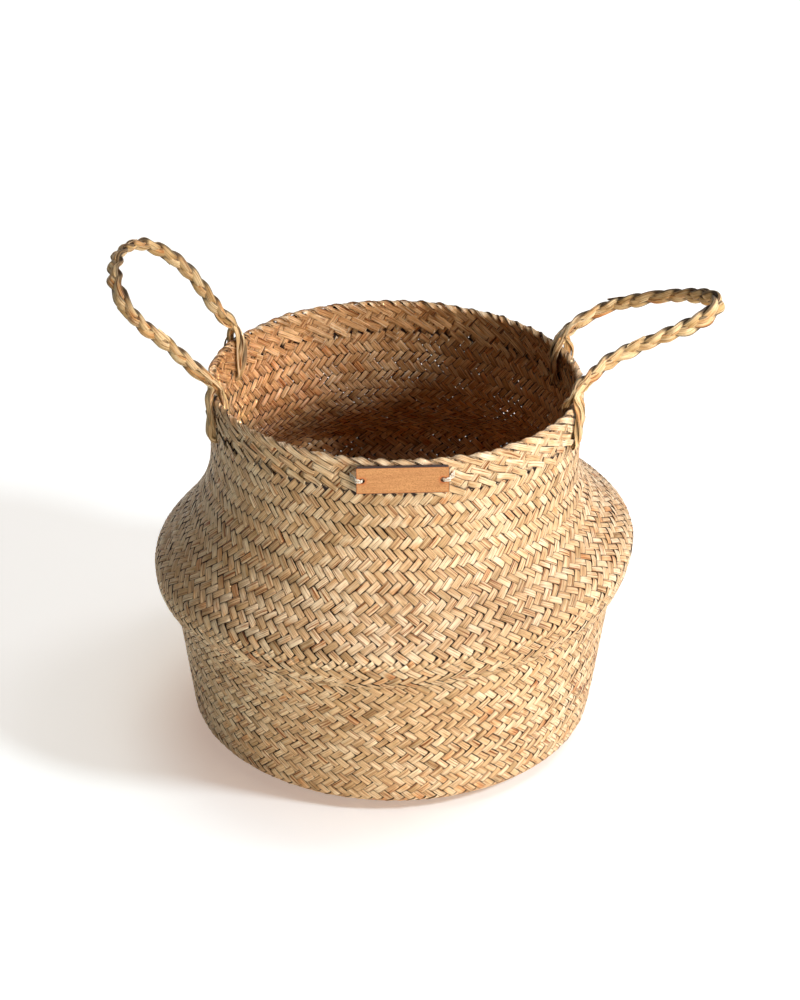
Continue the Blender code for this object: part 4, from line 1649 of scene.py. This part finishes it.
@dataclass
class Studio:
    """The white floor, the light and the camera of the photograph."""

    elevation: float = math.radians(29.402)
    distance: float = 1.5
    target_height: float = 0.130
    focal_pixels: float = 2238.92
    roll: float = math.radians(0.923)
    principal: tuple[float, float] = (393.44, 535.196)
    image: tuple[int, int] = (800, 1000)
    ambient: float = 0.02
    ambient_colour: Colour = (1.0, 0.86, 0.70)
    floor_glow: Colour = (0.45, 0.35, 0.295)
    far_glow: Colour = (0.60, 0.52, 0.48)
    far_reach: tuple[float, float] = (0.55, 1.5)
    white_reach: tuple[float, float] = (1.5, 2.4)
    bounce: Colour = (0.84, 0.72, 0.60)
    floor_size: float = 12.0
    lamps: tuple[Lamp, ...] = (
        Lamp("key", -24.0, 41.0, 2.0, 0.30, 25.4, (0.98, 1.0, 1.08), Lights.OBJECT),
        Lamp("window", -56.0, 8.0, 3.0, 1.3, 65.0, (1.0, 0.86, 0.71), Lights.OBJECT),
        Lamp("inside", -19.0, 57.0, 2.0, 0.11, 0.38, (1.0, 0.90, 0.80), Lights.OBJECT, 4.0, 0.255),
        Lamp("skylight", -80.0, 76.0, 3.0, 1.4, 12.0, (1.0, 0.92, 0.82), Lights.OBJECT),
        Lamp("key_floor", -25.0, 37.0, 2.0, 0.30, 31.0, (0.80, 0.93, 1.0), Lights.FLOOR),
        Lamp("side_floor", 12.0, 60.0, 4.0, 1.0, 25.0, (0.90, 0.92, 1.0), Lights.FLOOR),
        Lamp("back_floor", 100.0, 68.0, 4.0, 2.0, 38.0, (0.86, 1.0, 0.93), Lights.FLOOR),
        Lamp("ceiling", 10.0, 82.0, 4.0, 3.6, 72.0, (0.72, 0.90, 1.0), Lights.FLOOR),
    )

    def camera(self) -> None:
        """Adds the camera at the photograph's angle."""
        data = bpy.data.cameras.new("camera")
        data.sensor_fit = "AUTO"
        data.sensor_width = 36.0
        data.lens = self.focal_pixels / self.image[1] * data.sensor_width
        data.shift_x = (self.image[0] / 2 - self.principal[0]) / self.image[1]
        data.shift_y = (self.principal[1] - self.image[1] / 2) / self.image[1]
        data.clip_start, data.clip_end = 0.05, 50.0
        camera = bpy.data.objects.new("camera", data)
        back = Vector((0.0, -math.cos(self.elevation), math.sin(self.elevation)))
        up = Vector((0.0, math.sin(self.elevation), math.cos(self.elevation)))
        right = Vector((1.0, 0.0, 0.0))
        cosine, sine = math.cos(self.roll), math.sin(self.roll)
        place = Matrix((right * cosine + up * sine, up * cosine - right * sine, back)).transposed().to_4x4()
        place.translation = Vector((0.0, 0.0, self.target_height)) + back * self.distance
        camera.matrix_world = place
        bpy.context.scene.collection.objects.link(camera)
        bpy.context.scene.camera = camera

    def seen(self, graph: Graph) -> Value:
        """1 for rays that show the background: camera, glossy and transmission rays."""
        path = graph.add("ShaderNodeLightPath")
        seen = path["Is Camera Ray"].math("MAXIMUM", path["Is Glossy Ray"])
        return seen.math("MAXIMUM", path["Is Transmission Ray"])

    def floor(self) -> bpy.types.Object:
        """Adds the white floor, which keeps the basket's shadow."""
        mesh = bpy.data.meshes.new("floor")
        half = self.floor_size / 2
        mesh.from_pydata([(-half, -half, 0), (half, -half, 0), (half, half, 0), (-half, half, 0)], [], [(0, 1, 2, 3)])
        material = bpy.data.materials.new("floor_white")
        material.use_nodes = True
        graph = Graph(material.node_tree)
        paper = graph.add("ShaderNodeBsdfDiffuse", None, {"Color": (0.80, 0.80, 0.80, 1.0)})["BSDF"]
        x, y, _ = graph.split(graph.add("ShaderNodeTexCoord")["Object"])
        away = (x * x + y * y).math("SQRT")
        glow = graph.mix(away.ramp(*self.far_reach), self.floor_glow, self.far_glow)
        glow = graph.mix(away.ramp(*self.white_reach), glow, (1.0, 1.0, 1.0))
        warm = graph.add("ShaderNodeEmission", None, {"Color": glow, "Strength": 1.0})["Emission"]
        lit = graph.add("ShaderNodeAddShader", None, {0: paper, 1: warm})["Shader"]
        bounce = graph.add("ShaderNodeBsdfDiffuse", None, {"Color": (*self.bounce, 1.0)})["BSDF"]
        mixed = graph.add("ShaderNodeMixShader", None, {0: self.seen(graph), 1: bounce, 2: lit})["Shader"]
        graph.add("ShaderNodeOutputMaterial", None, {"Surface": mixed})
        floor = plain_piece("floor", mesh, material)
        return floor

    def world(self) -> None:
        """Sets an even pale light all round, and a white background."""
        world = bpy.data.worlds.new("studio")
        world.use_nodes = True
        graph = Graph(world.node_tree)
        light = tuple(self.ambient * channel for channel in self.ambient_colour)
        colour = graph.mix(self.seen(graph), light, (1.0, 1.0, 1.0))
        shown = graph.add("ShaderNodeBackground", None, {"Color": colour, "Strength": 1.0})
        graph.add("ShaderNodeOutputWorld", None, {"Surface": shown["Background"]})
        bpy.context.scene.world = world

    def build(self) -> None:
        """Sets the whole studio."""
        self.camera()
        floor = self.floor()
        self.world()
        for lamp in self.lamps:
            lamp.build(floor)
        bpy.context.scene.view_settings.view_transform = "Standard"


def report(pieces: Sequence[bpy.types.Object]) -> None:
    """Logs each piece with its number of faces."""
    for piece in pieces:
        LOG.info("%s: %d faces", piece.name, len(piece.data.polygons))


def main() -> None:
    """Builds the basket piece by piece, and the studio round it."""
    logging.basicConfig(level=logging.INFO, format="%(name)s %(message)s")
    shape = BasketShape()
    lattice = Lattice(shape)
    LOG.info("rows from %.2f to %.2f", lattice.first_row, float(lattice.rows[-1]))
    rings, ropes = ring_tool(), rope_tool()
    straw = Leaf("seagrass_strand", STRAW_STOPS).material()
    rope = Leaf("seagrass_rope", ROPE_STOPS, half_width=0.0028, fibre_pitch=0.00050, rib_pitch=0.0011,
                patch_length=0.018, edge_shade_share=0.7, fibre_share=0.9, hollow_shade_from=0.0, hollow_shade_to=-0.95, hollow_shade_slant=0.05,
                hollow_shade_share=0.85).material()
    wall = WovenWall(lattice, rings, straw)
    report(wall.build())
    folded = Leaf("seagrass_border", STRAW_STOPS, half_width=0.0022, edge_shade_share=0.95, shade_share=0.7,
                  fibre_share=0.9).material()
    report(Border(wall, folded).build())
    report([BaseMat(shape, straw).build()])
    report(Handle("handle_left", "left_handle", shape, ropes, rope, (math.radians(199.0), math.radians(154.0)),
                   math.radians(45.0), 0.094, math.radians(8.0), LEFT_LOOP_SHARES,
                   ("handle_eye_left_front", "handle_eye_left_back"), 11, LEFT_STRAYS).build()
           + Handle("handle_right", "right_handle", shape, ropes, rope, (math.radians(-21.0), math.radians(23.5)),
                   math.radians(26.0), 0.103, 0.0, RIGHT_LOOP_SHARES,
                   ("handle_eye_right_front", "handle_eye_right_back"), 12, RIGHT_STRAYS).build())
    tag = Tag(shape, ropes)
    report([tag.dress(), tag.threads(-1), tag.threads(1)])
    Studio().build()


if __name__ == "__main__":
    main()
